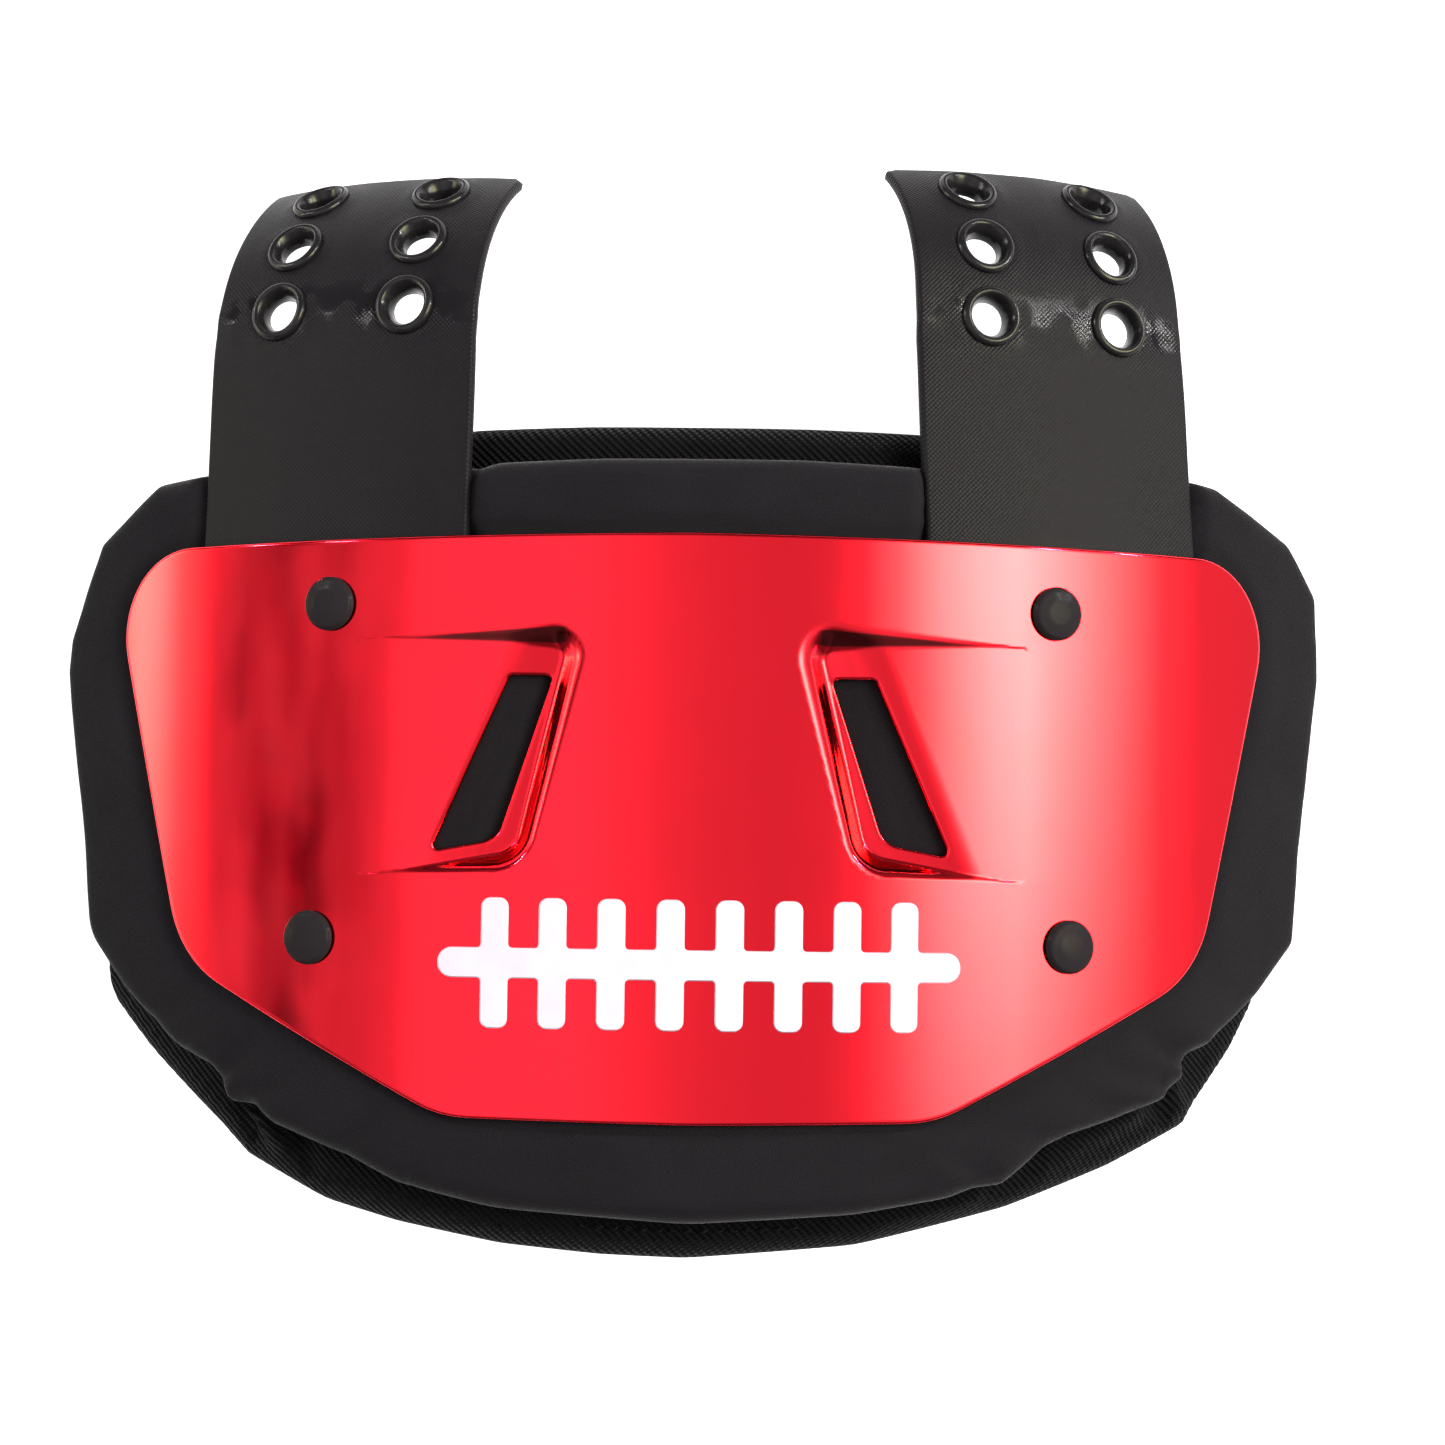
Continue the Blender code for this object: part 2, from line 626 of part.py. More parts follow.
def make_eyelet(strap, row, column, across, along, material, collection, root):
    lip = EYELET_SEAT + EYELET_FLANGE_THICKNESS
    profile = (
        (EYELET_BARREL_RADIUS, lip + EYELET_SWELL * EYELET_FLANGE_THICKNESS),
        (EYELET_FLANGE_RADIUS - EYELET_BEVEL * EYELET_FLANGE_THICKNESS, lip),
        (EYELET_FLANGE_RADIUS, EYELET_SEAT),
        (EYELET_BARREL_RADIUS, EYELET_SEAT),
        (EYELET_BARREL_RADIUS, -EYELET_SEAT),
        (EYELET_FLANGE_RADIUS, -EYELET_SEAT),
        (EYELET_FLANGE_RADIUS, -lip),
        (EYELET_HOLE_RADIUS, -lip),
        (EYELET_HOLE_RADIUS, EYELET_SEAT),
    )
    item = link(turned(profile, EYELET_SIDES, True), collection)
    bpy.context.view_layer.update()
    mesh = bent(mesh_of(item), lambda x, y, lift: on_strap(strap, across + x, along + y, lift))
    name = "eyelet_%s_%d_%d" % (strap[0], row, column)
    return finish(mesh, name, material, collection, root)


def make_rivet(name, x, y, grip, material, collection, root):
    dome = [(out * RIVET_HEAD_RADIUS, up * RIVET_HEAD_HEIGHT) for out, up in RIVET_DOME]
    profile = dome + [
        (RIVET_HEAD_RADIUS, CLEAR),
        (RIVET_SHANK_RADIUS, CLEAR),
        (RIVET_SHANK_RADIUS, -grip - CLEAR),
        (RIVET_TAIL_RADIUS, -grip - CLEAR),
        (RIVET_TAIL_RADIUS, -grip - CLEAR - RIVET_TAIL_THICKNESS),
        (0.0, -grip - CLEAR - RIVET_TAIL_THICKNESS),
    ]
    item = link(turned(profile, ROUND_SIDES, False), collection)
    item.name = name
    item.data.name = name
    item.data.materials.append(material)
    item.location = on_shell(x, y, 0.0)
    item.rotation_euler.y = x / SHELL_RADIUS
    item.parent = root
    return item


def centre_on_floor(parts, root):
    """Moves the whole to the middle of its own footprint, standing on the floor."""
    bpy.context.view_layer.update()
    graph = bpy.context.evaluated_depsgraph_get()
    points = []
    for part in parts:
        seen = part.evaluated_get(graph)
        points += [seen.matrix_world @ vertex.co for vertex in seen.data.vertices]
    low = [min(point[axis] for point in points) for axis in range(3)]
    high = [max(point[axis] for point in points) for axis in range(3)]
    root.location = (-(low[0] + high[0]) / 2, -(low[1] + high[1]) / 2, -low[2])
    bpy.context.view_layer.update()


def build():
    clear_scene()
    parts_in = bpy.data.collections.new("football_back_plate")
    cutters = bpy.data.collections.new("cutters")
    bpy.context.scene.collection.children.link(parts_in)
    bpy.context.scene.collection.children.link(cutters)
    root = link(bpy.data.objects.new("back_plate_root", None), parts_in)

    red_chrome = make_material("red_chrome_plastic", (0.75, 0.01, 0.03), 0.15, 0.9)
    black_gloss = make_material("black_gloss_plastic", (0.01, 0.01, 0.01), 0.15, 0.0)
    black_metal = make_material("black_enamelled_metal", (0.015, 0.015, 0.015), 0.3, 0.6)
    coated_strap = make_material("coated_webbing", (0.025, 0.021, 0.019), 0.42, 0.0)
    knit_cover = make_material("knit_cover", (0.014, 0.014, 0.016), 0.85, 0.0)
    ribbed_mesh = make_material("ribbed_mesh", (0.012, 0.012, 0.013), 0.9, 0.0)

    parts = [
        make_plate(red_chrome, parts_in, root, cutters),
        make_front_pad(knit_cover, parts_in, root, cutters),
        make_mesh_pad(ribbed_mesh, parts_in, root, cutters),
    ]
    for strap in STRAPS:
        parts.append(make_strap(strap, coated_strap, parts_in, root, cutters))
        for row, column, across, along in eyelet_places():
            parts.append(make_eyelet(strap, row, column, across, along, black_metal, parts_in, root))
    for side_name, side in SIDES:
        for level, out, up, grip in RIVETS:
            name = "rivet_%s_%s" % (level, side_name)
            parts.append(make_rivet(name, side * out, up, grip, black_gloss, parts_in, root))
    centre_on_floor(parts, root)


build()
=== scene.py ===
import math

import bpy
import numpy as np
from mathutils import Matrix, Vector, noise
from mathutils.geometry import delaunay_2d_cdt


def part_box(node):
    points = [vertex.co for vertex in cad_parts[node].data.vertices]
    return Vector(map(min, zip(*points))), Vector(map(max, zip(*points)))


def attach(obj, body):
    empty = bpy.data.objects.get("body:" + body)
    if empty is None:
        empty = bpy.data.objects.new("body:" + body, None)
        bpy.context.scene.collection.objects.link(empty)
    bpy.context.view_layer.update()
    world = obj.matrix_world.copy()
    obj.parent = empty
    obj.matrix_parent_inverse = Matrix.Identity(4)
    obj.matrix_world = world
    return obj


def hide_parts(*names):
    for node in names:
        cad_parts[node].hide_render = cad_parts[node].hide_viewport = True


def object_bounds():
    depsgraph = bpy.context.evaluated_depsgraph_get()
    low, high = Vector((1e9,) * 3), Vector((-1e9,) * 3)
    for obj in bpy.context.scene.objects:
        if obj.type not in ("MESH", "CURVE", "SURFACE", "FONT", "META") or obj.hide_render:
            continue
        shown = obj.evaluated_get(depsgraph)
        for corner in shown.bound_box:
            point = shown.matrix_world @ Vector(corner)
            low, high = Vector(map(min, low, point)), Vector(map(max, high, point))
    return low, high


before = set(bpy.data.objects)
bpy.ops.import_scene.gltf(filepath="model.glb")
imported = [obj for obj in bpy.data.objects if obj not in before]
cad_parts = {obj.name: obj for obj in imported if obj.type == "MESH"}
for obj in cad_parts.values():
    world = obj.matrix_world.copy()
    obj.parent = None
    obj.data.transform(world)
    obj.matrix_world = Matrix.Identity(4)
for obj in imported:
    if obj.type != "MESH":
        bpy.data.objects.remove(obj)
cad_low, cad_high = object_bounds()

# Every layer is drawn flat and rolled about the upright axis of the wearer's back.
# In the flat drawing u runs along the plate's outer face, v is the height over the
# plate's datum and lift is the height off the outer face. Sizes are in metres.
SHELL_RADIUS = 0.235
PLATE_TOP = 0.0795
plate_low, plate_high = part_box("back_plate")
DATUM = plate_high.y - PLATE_TOP
APEX = plate_high.z
MM = 0.001

# Photograph: a square frame, with the foot of the camera's upright at a pixel of it
FRAME_PIXELS = 1445
FOOT_PIXEL = (690.0, 878.0)
CAMERA_HEIGHT = 0.735
PIXELS_PER_METRE = 4370.0
CAMERA_ROLL = 0.0135
SENSOR = 36.0


def shell(u, v, lift):
    """Points of the flat drawing rolled onto the shell, as an array of places."""
    angle = u / SHELL_RADIUS
    radius = SHELL_RADIUS + lift
    return np.stack([radius * np.sin(angle), v + DATUM, radius * np.cos(angle) - SHELL_RADIUS + APEX], axis=-1)


def step_up(x, low, high):
    t = np.clip((x - low) / (high - low), 0.0, 1.0)
    return t * t * (3 - 2 * t)


def soft_min(a, b, k):
    h = np.maximum(k - np.abs(a - b), 0.0) / np.maximum(k, 1e-9)
    return np.minimum(a, b) - h * h * k / 4


def soft_max(a, b, k):
    return -soft_min(-a, -b, k)


def rounded(corners, step=math.radians(6)):
    """The closed outline through corners (x, y, radius) in millimetres, in metres."""
    points = []
    count = len(corners)
    for index, (x, y, radius) in enumerate(corners):
        corner = Vector((x, y)) * MM
        radius = radius * MM
        before = Vector(corners[index - 1][:2]) * MM - corner
        after = Vector(corners[(index + 1) % count][:2]) * MM - corner
        half = before.angle(after) / 2
        if radius <= 0 or half > math.radians(89.5):
            points.append(tuple(corner))
            continue
        reach = min(radius / math.tan(half), 0.48 * before.length, 0.48 * after.length)
        start = corner + before.normalized() * reach
        middle = corner + (before.normalized() + after.normalized()).normalized() * (reach / math.cos(half))
        first = start - middle
        turn = first.angle_signed(corner + after.normalized() * reach - middle)
        steps = max(2, round(abs(turn) / step))
        for number in range(steps + 1):
            spoke = first.copy()
            spoke.rotate(Matrix.Rotation(-turn * number / steps, 2))
            points.append(tuple(middle + spoke))
    return np.array(points)


def resampled(outline, spacing):
    """A closed outline with points at an even spacing."""
    closed = np.vstack([outline, outline[:1]])
    lengths = np.concatenate([[0], np.cumsum(np.linalg.norm(np.diff(closed, axis=0), axis=1))])
    count = int(round(lengths[-1] / spacing))
    at = np.linspace(0, lengths[-1], count, endpoint=False)
    return np.stack([np.interp(at, lengths, closed[:, axis]) for axis in (0, 1)], axis=1)


def inwards(outline, distance):
    """A clockwise outline's points moved inwards."""
    along = np.roll(outline, -1, axis=0) - np.roll(outline, 1, axis=0)
    along /= np.linalg.norm(along, axis=1, keepdims=True)
    return outline + np.stack([along[:, 1], -along[:, 0]], axis=1) * distance


def distance_to(points, chain, closed=True):
    """Distance of each point to a chain of straight pieces."""
    ends = np.roll(chain, -1, axis=0) if closed else chain[1:]
    starts = chain if closed else chain[:-1]
    best = np.full(len(points), 1e9)
    for a, b in zip(starts, ends):
        ab = b - a
        t = np.clip(((points - a) @ ab) / max(ab @ ab, 1e-18), 0.0, 1.0)
        best = np.minimum(best, np.linalg.norm(points - a - t[:, None] * ab, axis=1))
    return best


def inside(points, outline):
    """True for each point inside a closed outline."""
    x, y = points[:, 0], points[:, 1]
    odd = np.zeros(len(points), bool)
    for (x0, y0), (x1, y1) in zip(outline, np.roll(outline, -1, axis=0)):
        if y0 == y1:
            continue
        crosses = (y0 > y) != (y1 > y)
        odd ^= crosses & (x < (x1 - x0) * (y - y0) / (y1 - y0) + x0)
    return odd


def grid(low, high, spacing):
    across = np.arange(low[0], high[0], spacing)
    along = np.arange(low[1], high[1], spacing)
    shift = (np.arange(len(along)) % 2) * spacing / 2
    return np.array([(a + s, b) for b, s in zip(along, shift) for a in across])


def flat_mesh(rims, insets, spacing, finer=()):
    """Triangles of a sheet inside rims[0] and outside the other rims.

    Rows of points follow every rim at the inset distances. finer lists (spacing, test)
    for closer and closer grids where the tests are true. Returns points, triangles and
    rim distances.
    """
    clouds = []
    edges = []
    start = 0
    for index, rim in enumerate(rims):
        clouds.append(rim)
        edges += [(start + i, start + (i + 1) % len(rim)) for i in range(len(rim))]
        start += len(rim)
    reach = insets[-1] if insets else 0.0
    rows = []
    for index, rim in enumerate(rims):
        for inset in insets:
            row = inwards(rim, inset if index == 0 else -inset)
            clear = np.min([distance_to(row, other) for other in rims], axis=0)
            rows.append(row[clear > 0.93 * inset])
    low, high = rims[0].min(axis=0), rims[0].max(axis=0)
    levels = [(spacing, lambda field: np.ones(len(field), bool))] + list(finer)
    for number, (size, test) in enumerate(levels):
        field = grid(low, high, size)
        field = field[test(field)]
        for _, closer in levels[number + 1:]:
            field = field[~closer(field)]
        field = field[inside(field, rims[0])]
        clear = np.min([distance_to(field, rim) for rim in rims], axis=0)
        rows.append(field[clear > reach + 0.5 * size])
    points = np.vstack(clouds + rows)
    made = delaunay_2d_cdt([Vector(p) * 1000 for p in points], edges, [], 0, 1e-5)
    points = np.array([tuple(p) for p in made[0]]) / 1000
    triangles = np.array([face for face in made[2] if len(face) == 3])
    middles = points[triangles].mean(axis=1)
    keep = inside(middles, rims[0])
    for hole in rims[1:]:
        keep &= ~inside(middles, hole)
    triangles = triangles[keep]
    a, b, c = (points[triangles[:, i]] for i in range(3))
    turned = (b - a)[:, 0] * (c - a)[:, 1] - (b - a)[:, 1] * (c - a)[:, 0] < 0
    triangles[turned] = triangles[turned][:, ::-1]
    used = np.unique(triangles)
    renumber = np.full(len(points), -1)
    renumber[used] = np.arange(len(used))
    points, triangles = points[used], renumber[triangles]
    clear = np.min([distance_to(points, rim) for rim in rims], axis=0)
    return points, triangles, clear


def make_object(name, places, faces, flat, material):
    """A mesh object with its flat-drawing coordinates, in millimetres, as an attribute."""
    mesh = bpy.data.meshes.new(name)
    mesh.from_pydata(places.tolist(), [], [list(map(int, face)) for face in faces])
    mesh.update()
    store = mesh.attributes.new("flat", "FLOAT_VECTOR", "POINT")
    store.data.foreach_set("vector", (flat / MM).astype(np.float32).ravel())
    mesh.materials.append(material)
    mesh.shade_smooth()
    piece = bpy.data.objects.new(name, mesh)
    bpy.context.scene.collection.objects.link(piece)
    return piece


def two_sided(name, sheet, top, bottom, place, material):
    """A closed body from a flat sheet: a face at each lift, joined along the rims."""
    points, triangles, clear = sheet
    rim = clear < 1e-7
    inner = np.where(~rim)[0]
    lower = np.arange(len(points))
    lower[inner] = len(points) + np.arange(len(inner))
    u = np.concatenate([points[:, 0], points[inner, 0]])
    v = np.concatenate([points[:, 1], points[inner, 1]])
    lift = np.concatenate([top, bottom[inner]])
    faces = np.vstack([triangles, lower[triangles][:, ::-1]])
    places = place(u, v, lift)
    return make_object(name, places, faces, np.stack([u, v, lift], axis=1), material)


def edge_profile(clear, radius, power):
    """Share of the half thickness at a distance from the rim: a rounded edge."""
    t = np.clip(1 - clear / radius, 0.0, 1.0)
    return (1 - t ** power) ** (1 / power)


def wobble(u, v, size, seed):
    """Smooth noise over the flat drawing, between about -1 and 1."""
    return np.array([noise.noise(Vector((a / size, b / size, seed))) for a, b in zip(u, v)])


# Materials


def new_material(name, colour, roughness, metallic=0.0):
    material = bpy.data.materials.new(name)
    material.use_nodes = True
    shader = material.node_tree.nodes["Principled BSDF"]
    shader.inputs["Base Color"].default_value = (*colour, 1)
    shader.inputs["Roughness"].default_value = roughness
    shader.inputs["Metallic"].default_value = metallic
    return material, material.node_tree, shader


def add(tree, kind, **values):
    node = tree.nodes.new(kind)
    for key, value in values.items():
        if key in node.inputs:
            node.inputs[key].default_value = value
        else:
            setattr(node, key, value)
    return node


def flat_vector(tree, scale=(1, 1, 1), turn=0.0):
    """The flat drawing's coordinates in millimetres, turned and scaled."""
    source = add(tree, "ShaderNodeAttribute", attribute_name="flat")
    mapping = add(tree, "ShaderNodeMapping")
    mapping.inputs["Scale"].default_value = scale
    mapping.inputs["Rotation"].default_value = (0, 0, turn)
    tree.links.new(source.outputs["Vector"], mapping.inputs["Vector"])
    return mapping.outputs["Vector"]


def noise_at(tree, vector, scale, detail=3.0):
    node = add(tree, "ShaderNodeTexNoise", Scale=scale, Detail=detail)
    tree.links.new(vector, node.inputs["Vector"])
    return node.outputs["Fac"]


def mapped(tree, value, low, high, from_low=0.3, from_high=0.7):
    node = add(tree, "ShaderNodeMapRange")
    tree.links.new(value, node.inputs["Value"])
    for key, number in zip(("From Min", "From Max", "To Min", "To Max"), (from_low, from_high, low, high)):
        node.inputs[key].default_value = number
    return node.outputs["Result"]


def maths(tree, operation, first, second):
    node = add(tree, "ShaderNodeMath", operation=operation)
    for socket, value in zip(node.inputs, (first, second)):
        if isinstance(value, (int, float)):
            socket.default_value = value
        else:
            tree.links.new(value, socket)
    return node.outputs[0]


def colour_between(tree, shader, value, dark, light):
    ramp = add(tree, "ShaderNodeValToRGB")
    ramp.color_ramp.elements[0].color = (*dark, 1)
    ramp.color_ramp.elements[1].color = (*light, 1)
    tree.links.new(value, ramp.inputs["Fac"])
    tree.links.new(ramp.outputs["Color"], shader.inputs["Base Color"])


def bump(tree, shader, height, distance, strength=1.0):
    node = add(tree, "ShaderNodeBump", Distance=distance, Strength=strength)
    tree.links.new(height, node.inputs["Height"])
    tree.links.new(node.outputs["Normal"], shader.inputs["Normal"])


def ribs(tree, vector, axis):
    """Even ribs, one to each unit of an axis of the vector."""
    split = add(tree, "ShaderNodeSeparateXYZ")
    tree.links.new(vector, split.inputs[0])
    wave = maths(tree, "MULTIPLY", split.outputs[axis], 2 * math.pi)
    return maths(tree, "SINE", wave, 0.0)


def red_chrome():
    material, tree, shader = new_material("red_chrome", (0.90, 0.002, 0.018), 0.10, 1.0)
    shader.inputs["Coat Weight"].default_value = 0.42
    shader.inputs["Coat Roughness"].default_value = 0.06
    streaks = noise_at(tree, flat_vector(tree, (0.06, 0.015, 1)), 1.0, 4.0)
    tree.links.new(mapped(tree, streaks, 0.07, 0.13), shader.inputs["Roughness"])
    haze = noise_at(tree, flat_vector(tree, (0.02, 0.03, 1)), 1.0, 2.0)
    colour_between(tree, shader, haze, (0.88, 0.0015, 0.016), (0.92, 0.0025, 0.020))
    # Painted shade: the base colour is darkened on the recesses' upper walls, deepest at the inner end
    split = add(tree, "ShaderNodeSeparateXYZ")
    tree.links.new(flat_vector(tree), split.inputs[0])
    across = maths(tree, "ABSOLUTE", split.outputs["X"], 0.0)
    lip = mapped(tree, across, 58.5, 53.9, 23.5, 92.0)
    deep = maths(tree, "SUBTRACT", lip, split.outputs["Y"])
    wall = mapped(tree, across, 5.0, 0.3, 25.0, 84.0)
    below = mapped(tree, maths(tree, "SUBTRACT", deep, wall), 1.0, 0.0, -0.9, 0.3)
    ends = maths(tree, "MULTIPLY", mapped(tree, across, 0.0, 1.0, 27.5, 31.0), mapped(tree, across, 1.0, 0.3, 38.0, 84.0))
    shade = maths(tree, "MULTIPLY", maths(tree, "MULTIPLY", mapped(tree, deep, 0.0, 1.0, 0.1, 0.9), below), ends)
    # Painted shade on the cut edge and the back, outside the recesses
    beside = mapped(tree, across, 0.0, 1.0, 90.0, 96.0)
    above = mapped(tree, split.outputs["Y"], 0.0, 1.0, 62.0, 66.0)
    under = mapped(tree, split.outputs["Y"], 1.0, 0.0, -10.0, -6.0)
    outside = maths(tree, "MAXIMUM", maths(tree, "MAXIMUM", beside, above), under)
    edge = maths(tree, "MULTIPLY", mapped(tree, split.outputs["Z"], 1.0, 0.0, -0.45, -0.10), outside)
    shade = maths(tree, "MAXIMUM", shade, edge)
    # Painted shade: the paint colour is scaled down by the shade mask
    paint = add(tree, "ShaderNodeVectorMath", operation="SCALE")
    tree.links.new(shader.inputs["Base Color"].links[0].from_socket, paint.inputs[0])
    tree.links.new(mapped(tree, shade, 1.0, 0.16), paint.inputs["Scale"])
    tree.links.new(paint.outputs[0], shader.inputs["Base Color"])
    ripple = noise_at(tree, flat_vector(tree, (0.05, 0.05, 1)), 1.0, 1.0)
    bump(tree, shader, ripple, 0.00012)
    return material


def white_print():
    material, tree, shader = new_material("white_print", (0.6, 0.55, 0.62), 0.35)
    patches = noise_at(tree, flat_vector(tree, (0.12, 0.12, 1)), 1.0, 4.0)
    colour_between(tree, shader, patches, (0.56, 0.50, 0.58), (0.68, 0.63, 0.70))
    grain = noise_at(tree, flat_vector(tree), 1.6, 3.0)
    bump(tree, shader, grain, 0.00002)
    return material


def knit_cover():
    material, tree, shader = new_material("knit_cover", (0.010, 0.009, 0.010), 0.78)
    shader.inputs["Specular IOR Level"].default_value = 0.06
    shader.inputs["Sheen Weight"].default_value = 0.16
    shader.inputs["Sheen Roughness"].default_value = 0.22
    patches = noise_at(tree, flat_vector(tree, (0.05, 0.05, 1)), 1.0, 4.0)
    colour_between(tree, shader, patches, (0.0078, 0.0069, 0.0080), (0.0122, 0.0109, 0.0126))
    wales = ribs(tree, flat_vector(tree, (1.25, 1, 1)), 0)
    courses = ribs(tree, flat_vector(tree, (1, 1.7, 1)), 1)
    loops = maths(tree, "MULTIPLY", wales, courses)
    pile = noise_at(tree, flat_vector(tree), 2.2, 3.0)
    bump(tree, shader, maths(tree, "ADD", maths(tree, "MULTIPLY", loops, 0.35), pile), 0.00012)
    return material


def ribbed_mesh():
    material, tree, shader = new_material("ribbed_mesh", (0.004, 0.004, 0.004), 0.7)
    shader.inputs["Specular IOR Level"].default_value = 0.05
    shader.inputs["Sheen Weight"].default_value = 0.04
    shader.inputs["Sheen Roughness"].default_value = 0.25
    wales = ribs(tree, flat_vector(tree, (0.55, 1, 1), math.radians(-32)), 0)
    knots = ribs(tree, flat_vector(tree, (1, 1.1, 1), math.radians(-32)), 1)
    cell = maths(tree, "MULTIPLY", knots, 0.35)
    height = maths(tree, "ADD", wales, cell)
    shade = noise_at(tree, flat_vector(tree, (0.3, 0.3, 1)), 1.0, 3.0)
    # Painted shade: the colour follows the rib height, darker in the grooves between the ribs; the noise adds random
    # tone
    tone = maths(tree, "ADD", mapped(tree, height, 0.0, 0.75, -1.2, 1.2), mapped(tree, shade, 0.0, 0.25))
    colour_between(tree, shader, tone, (0.0012, 0.0012, 0.0014), (0.0068, 0.0067, 0.0076))
    bump(tree, shader, height, 0.0003)
    return material


def coated_strap():
    material, tree, shader = new_material("coated_strap", (0.013, 0.011, 0.009), 0.40)
    shader.inputs["Specular IOR Level"].default_value = 0.055
    patches = noise_at(tree, flat_vector(tree, (0.06, 0.035, 1)), 1.0, 5.0)
    colour_between(tree, shader, patches, (0.0078, 0.0066, 0.0078), (0.0136, 0.0118, 0.0136))
    split = add(tree, "ShaderNodeSeparateXYZ")
    tree.links.new(flat_vector(tree), split.inputs[0])
    off = maths(tree, "DIVIDE", maths(tree, "SUBTRACT", split.outputs["Y"], 55.0), 7.0)
    row = maths(tree, "EXPONENT", maths(tree, "MULTIPLY", maths(tree, "MULTIPLY", off, off), -1.0), 0.0)
    spots = mapped(tree, noise_at(tree, flat_vector(tree, (0.11, 0.11, 1)), 1.0, 2.0), 0.0, 1.0, 0.40, 0.54)
    polished = maths(tree, "MULTIPLY", row, spots)
    rough = maths(tree, "SUBTRACT", mapped(tree, patches, 0.32, 0.42), maths(tree, "MULTIPLY", polished, 0.28))
    tree.links.new(rough, shader.inputs["Roughness"])
    warp = ribs(tree, flat_vector(tree, (0.9, 1, 1)), 0)
    weft = ribs(tree, flat_vector(tree, (1, 0.9, 1)), 1)
    grain = noise_at(tree, flat_vector(tree), 1.1, 4.0)
    weave = maths(tree, "MULTIPLY", maths(tree, "MULTIPLY", warp, weft), 0.5)
    height = maths(tree, "ADD", weave, maths(tree, "MULTIPLY", grain, 0.8))
    bump(tree, shader, maths(tree, "MULTIPLY", height, mapped(tree, polished, 1.0, 0.22)), 0.00009)
    return material


def black_gloss(name, colour, roughness, gloss):
    material, tree, shader = new_material(name, colour, roughness)
    shader.inputs["Specular IOR Level"].default_value = gloss
    scuffs = add(tree, "ShaderNodeTexNoise", Scale=900.0, Detail=3.0)
    place = add(tree, "ShaderNodeTexCoord")
    tree.links.new(place.outputs["Object"], scuffs.inputs["Vector"])
    tree.links.new(mapped(tree, scuffs.outputs["Fac"], roughness * 0.7, roughness * 1.5), shader.inputs["Roughness"])
    bump(tree, shader, scuffs.outputs["Fac"], 0.00003)
    return material


RED = red_chrome()
KNIT = knit_cover()
MESH = ribbed_mesh()
STRAP = coated_strap()
PRINT = white_print()
RIVET = black_gloss("rivet_gloss", (0.0185, 0.0155, 0.0165), 0.20, 0.02)
EYELET = black_gloss("eyelet_enamel", (0.0100, 0.0088, 0.0094), 0.20, 0.2)

# Plate

PLATE_RIGHT = ((154.2, 78.5, 21), (128.4, -21.4, 28), (57.8, -55.9, 30))
PLATE_LEFT = ((153.8, 77.3, 21), (127.9, -20.8, 28), (57.8, -55.8, 30))
PLATE_BOTTOM = -56.6
PLATE_HALF_THICKNESS = 0.0015
VENT_CORNERS = ((23.5, 58.5, 7), (92, 53.9, 0), (92, -1.0, 0), (38.7, 2.0, 10))
VENT_OUTER = 0.077
VENT_SLOPE = 0.030
VENT_WALL_WIDTH = 0.105
VENT_FOLD = ((42.8, 46.2), (61.3, 5.4))
VENT_FOLD_REACH = 0.0016
VENT_FOLD_SLOPE = 0.24
VENT_LIP_ROUND = 0.36
VENT_FOOT_ROUND = 0.25
SLOT_CORNERS = ((33.0, 46.2, 1.0), (42.8, 46.2, 1.0), (61.3, 5.4, 1.2), (46.0, 8.4, 6))
FLOOR_THINNING = 0.0005


def two_halves(right, left, top, bottom):
    """A clockwise outline from each half's corners, given from the top downwards."""
    mirrored = [(-x, y, radius) for x, y, radius in reversed(left)]
    return rounded([(0, top, 60)] + list(right) + [(0, bottom, 60)] + mirrored)


def vent_walls():
    """The recess outline and its walled part, from the upper tip round to the lower tip."""
    outline = rounded(VENT_CORNERS)
    upper = int(np.argmax(outline[:, 0] + 0.2 * outline[:, 1]))
    chain = np.roll(outline, -upper, axis=0)
    lower = 1
    return outline, np.vstack([chain[lower:], chain[:1]])


VENT_OUTLINE, VENT_CHAIN = vent_walls()


def vent_reach(points, grow=0.0):
    """Distance inwards from the recess walls, in the right half; negative outside."""
    reach = distance_to(points, VENT_CHAIN, closed=False)
    return np.where(inside(points, VENT_OUTLINE), reach, -reach) + grow


def vent_depth(u, v, grow=0.0):
    """Depth of the louvre recesses below the plate's outer face.

    The floor leaves the plate's face gently at the outer side and folds down beside the
    slot. Three sloping walls, which widen as the floor sinks, close it in.
    """
    points = np.stack([np.abs(u), v], axis=1)
    depth = np.zeros(len(points))
    near = (points[:, 0] < 0.0895) & (points[:, 0] > 0.012) & (points[:, 1] > -0.012) & (points[:, 1] < 0.072)
    some = points[near]
    out = VENT_OUTER - some[:, 0]
    start, end = (np.array(place) * MM for place in VENT_FOLD)
    along = (end - start) / np.linalg.norm(end - start)
    past = (some - start) @ np.array((along[1], -along[0])) + VENT_FOLD_REACH
    floor = VENT_SLOPE * soft_max(out, 0.0, 0.012) + VENT_FOLD_SLOPE * soft_max(past, 0.0, 0.004)
    width = VENT_WALL_WIDTH * soft_max(out, 0.003, 0.003)
    share = vent_reach(some, grow) / width
    ramp = soft_min(soft_max(share, 0.0, VENT_LIP_ROUND), 1.0, VENT_FOOT_ROUND)
    depth[near] = floor * np.maximum(ramp, 0.0)
    return depth


def plate_face(u, v):
    """Places on the plate's outer face, with its recesses."""
    return shell(u, v, -vent_depth(u, v))


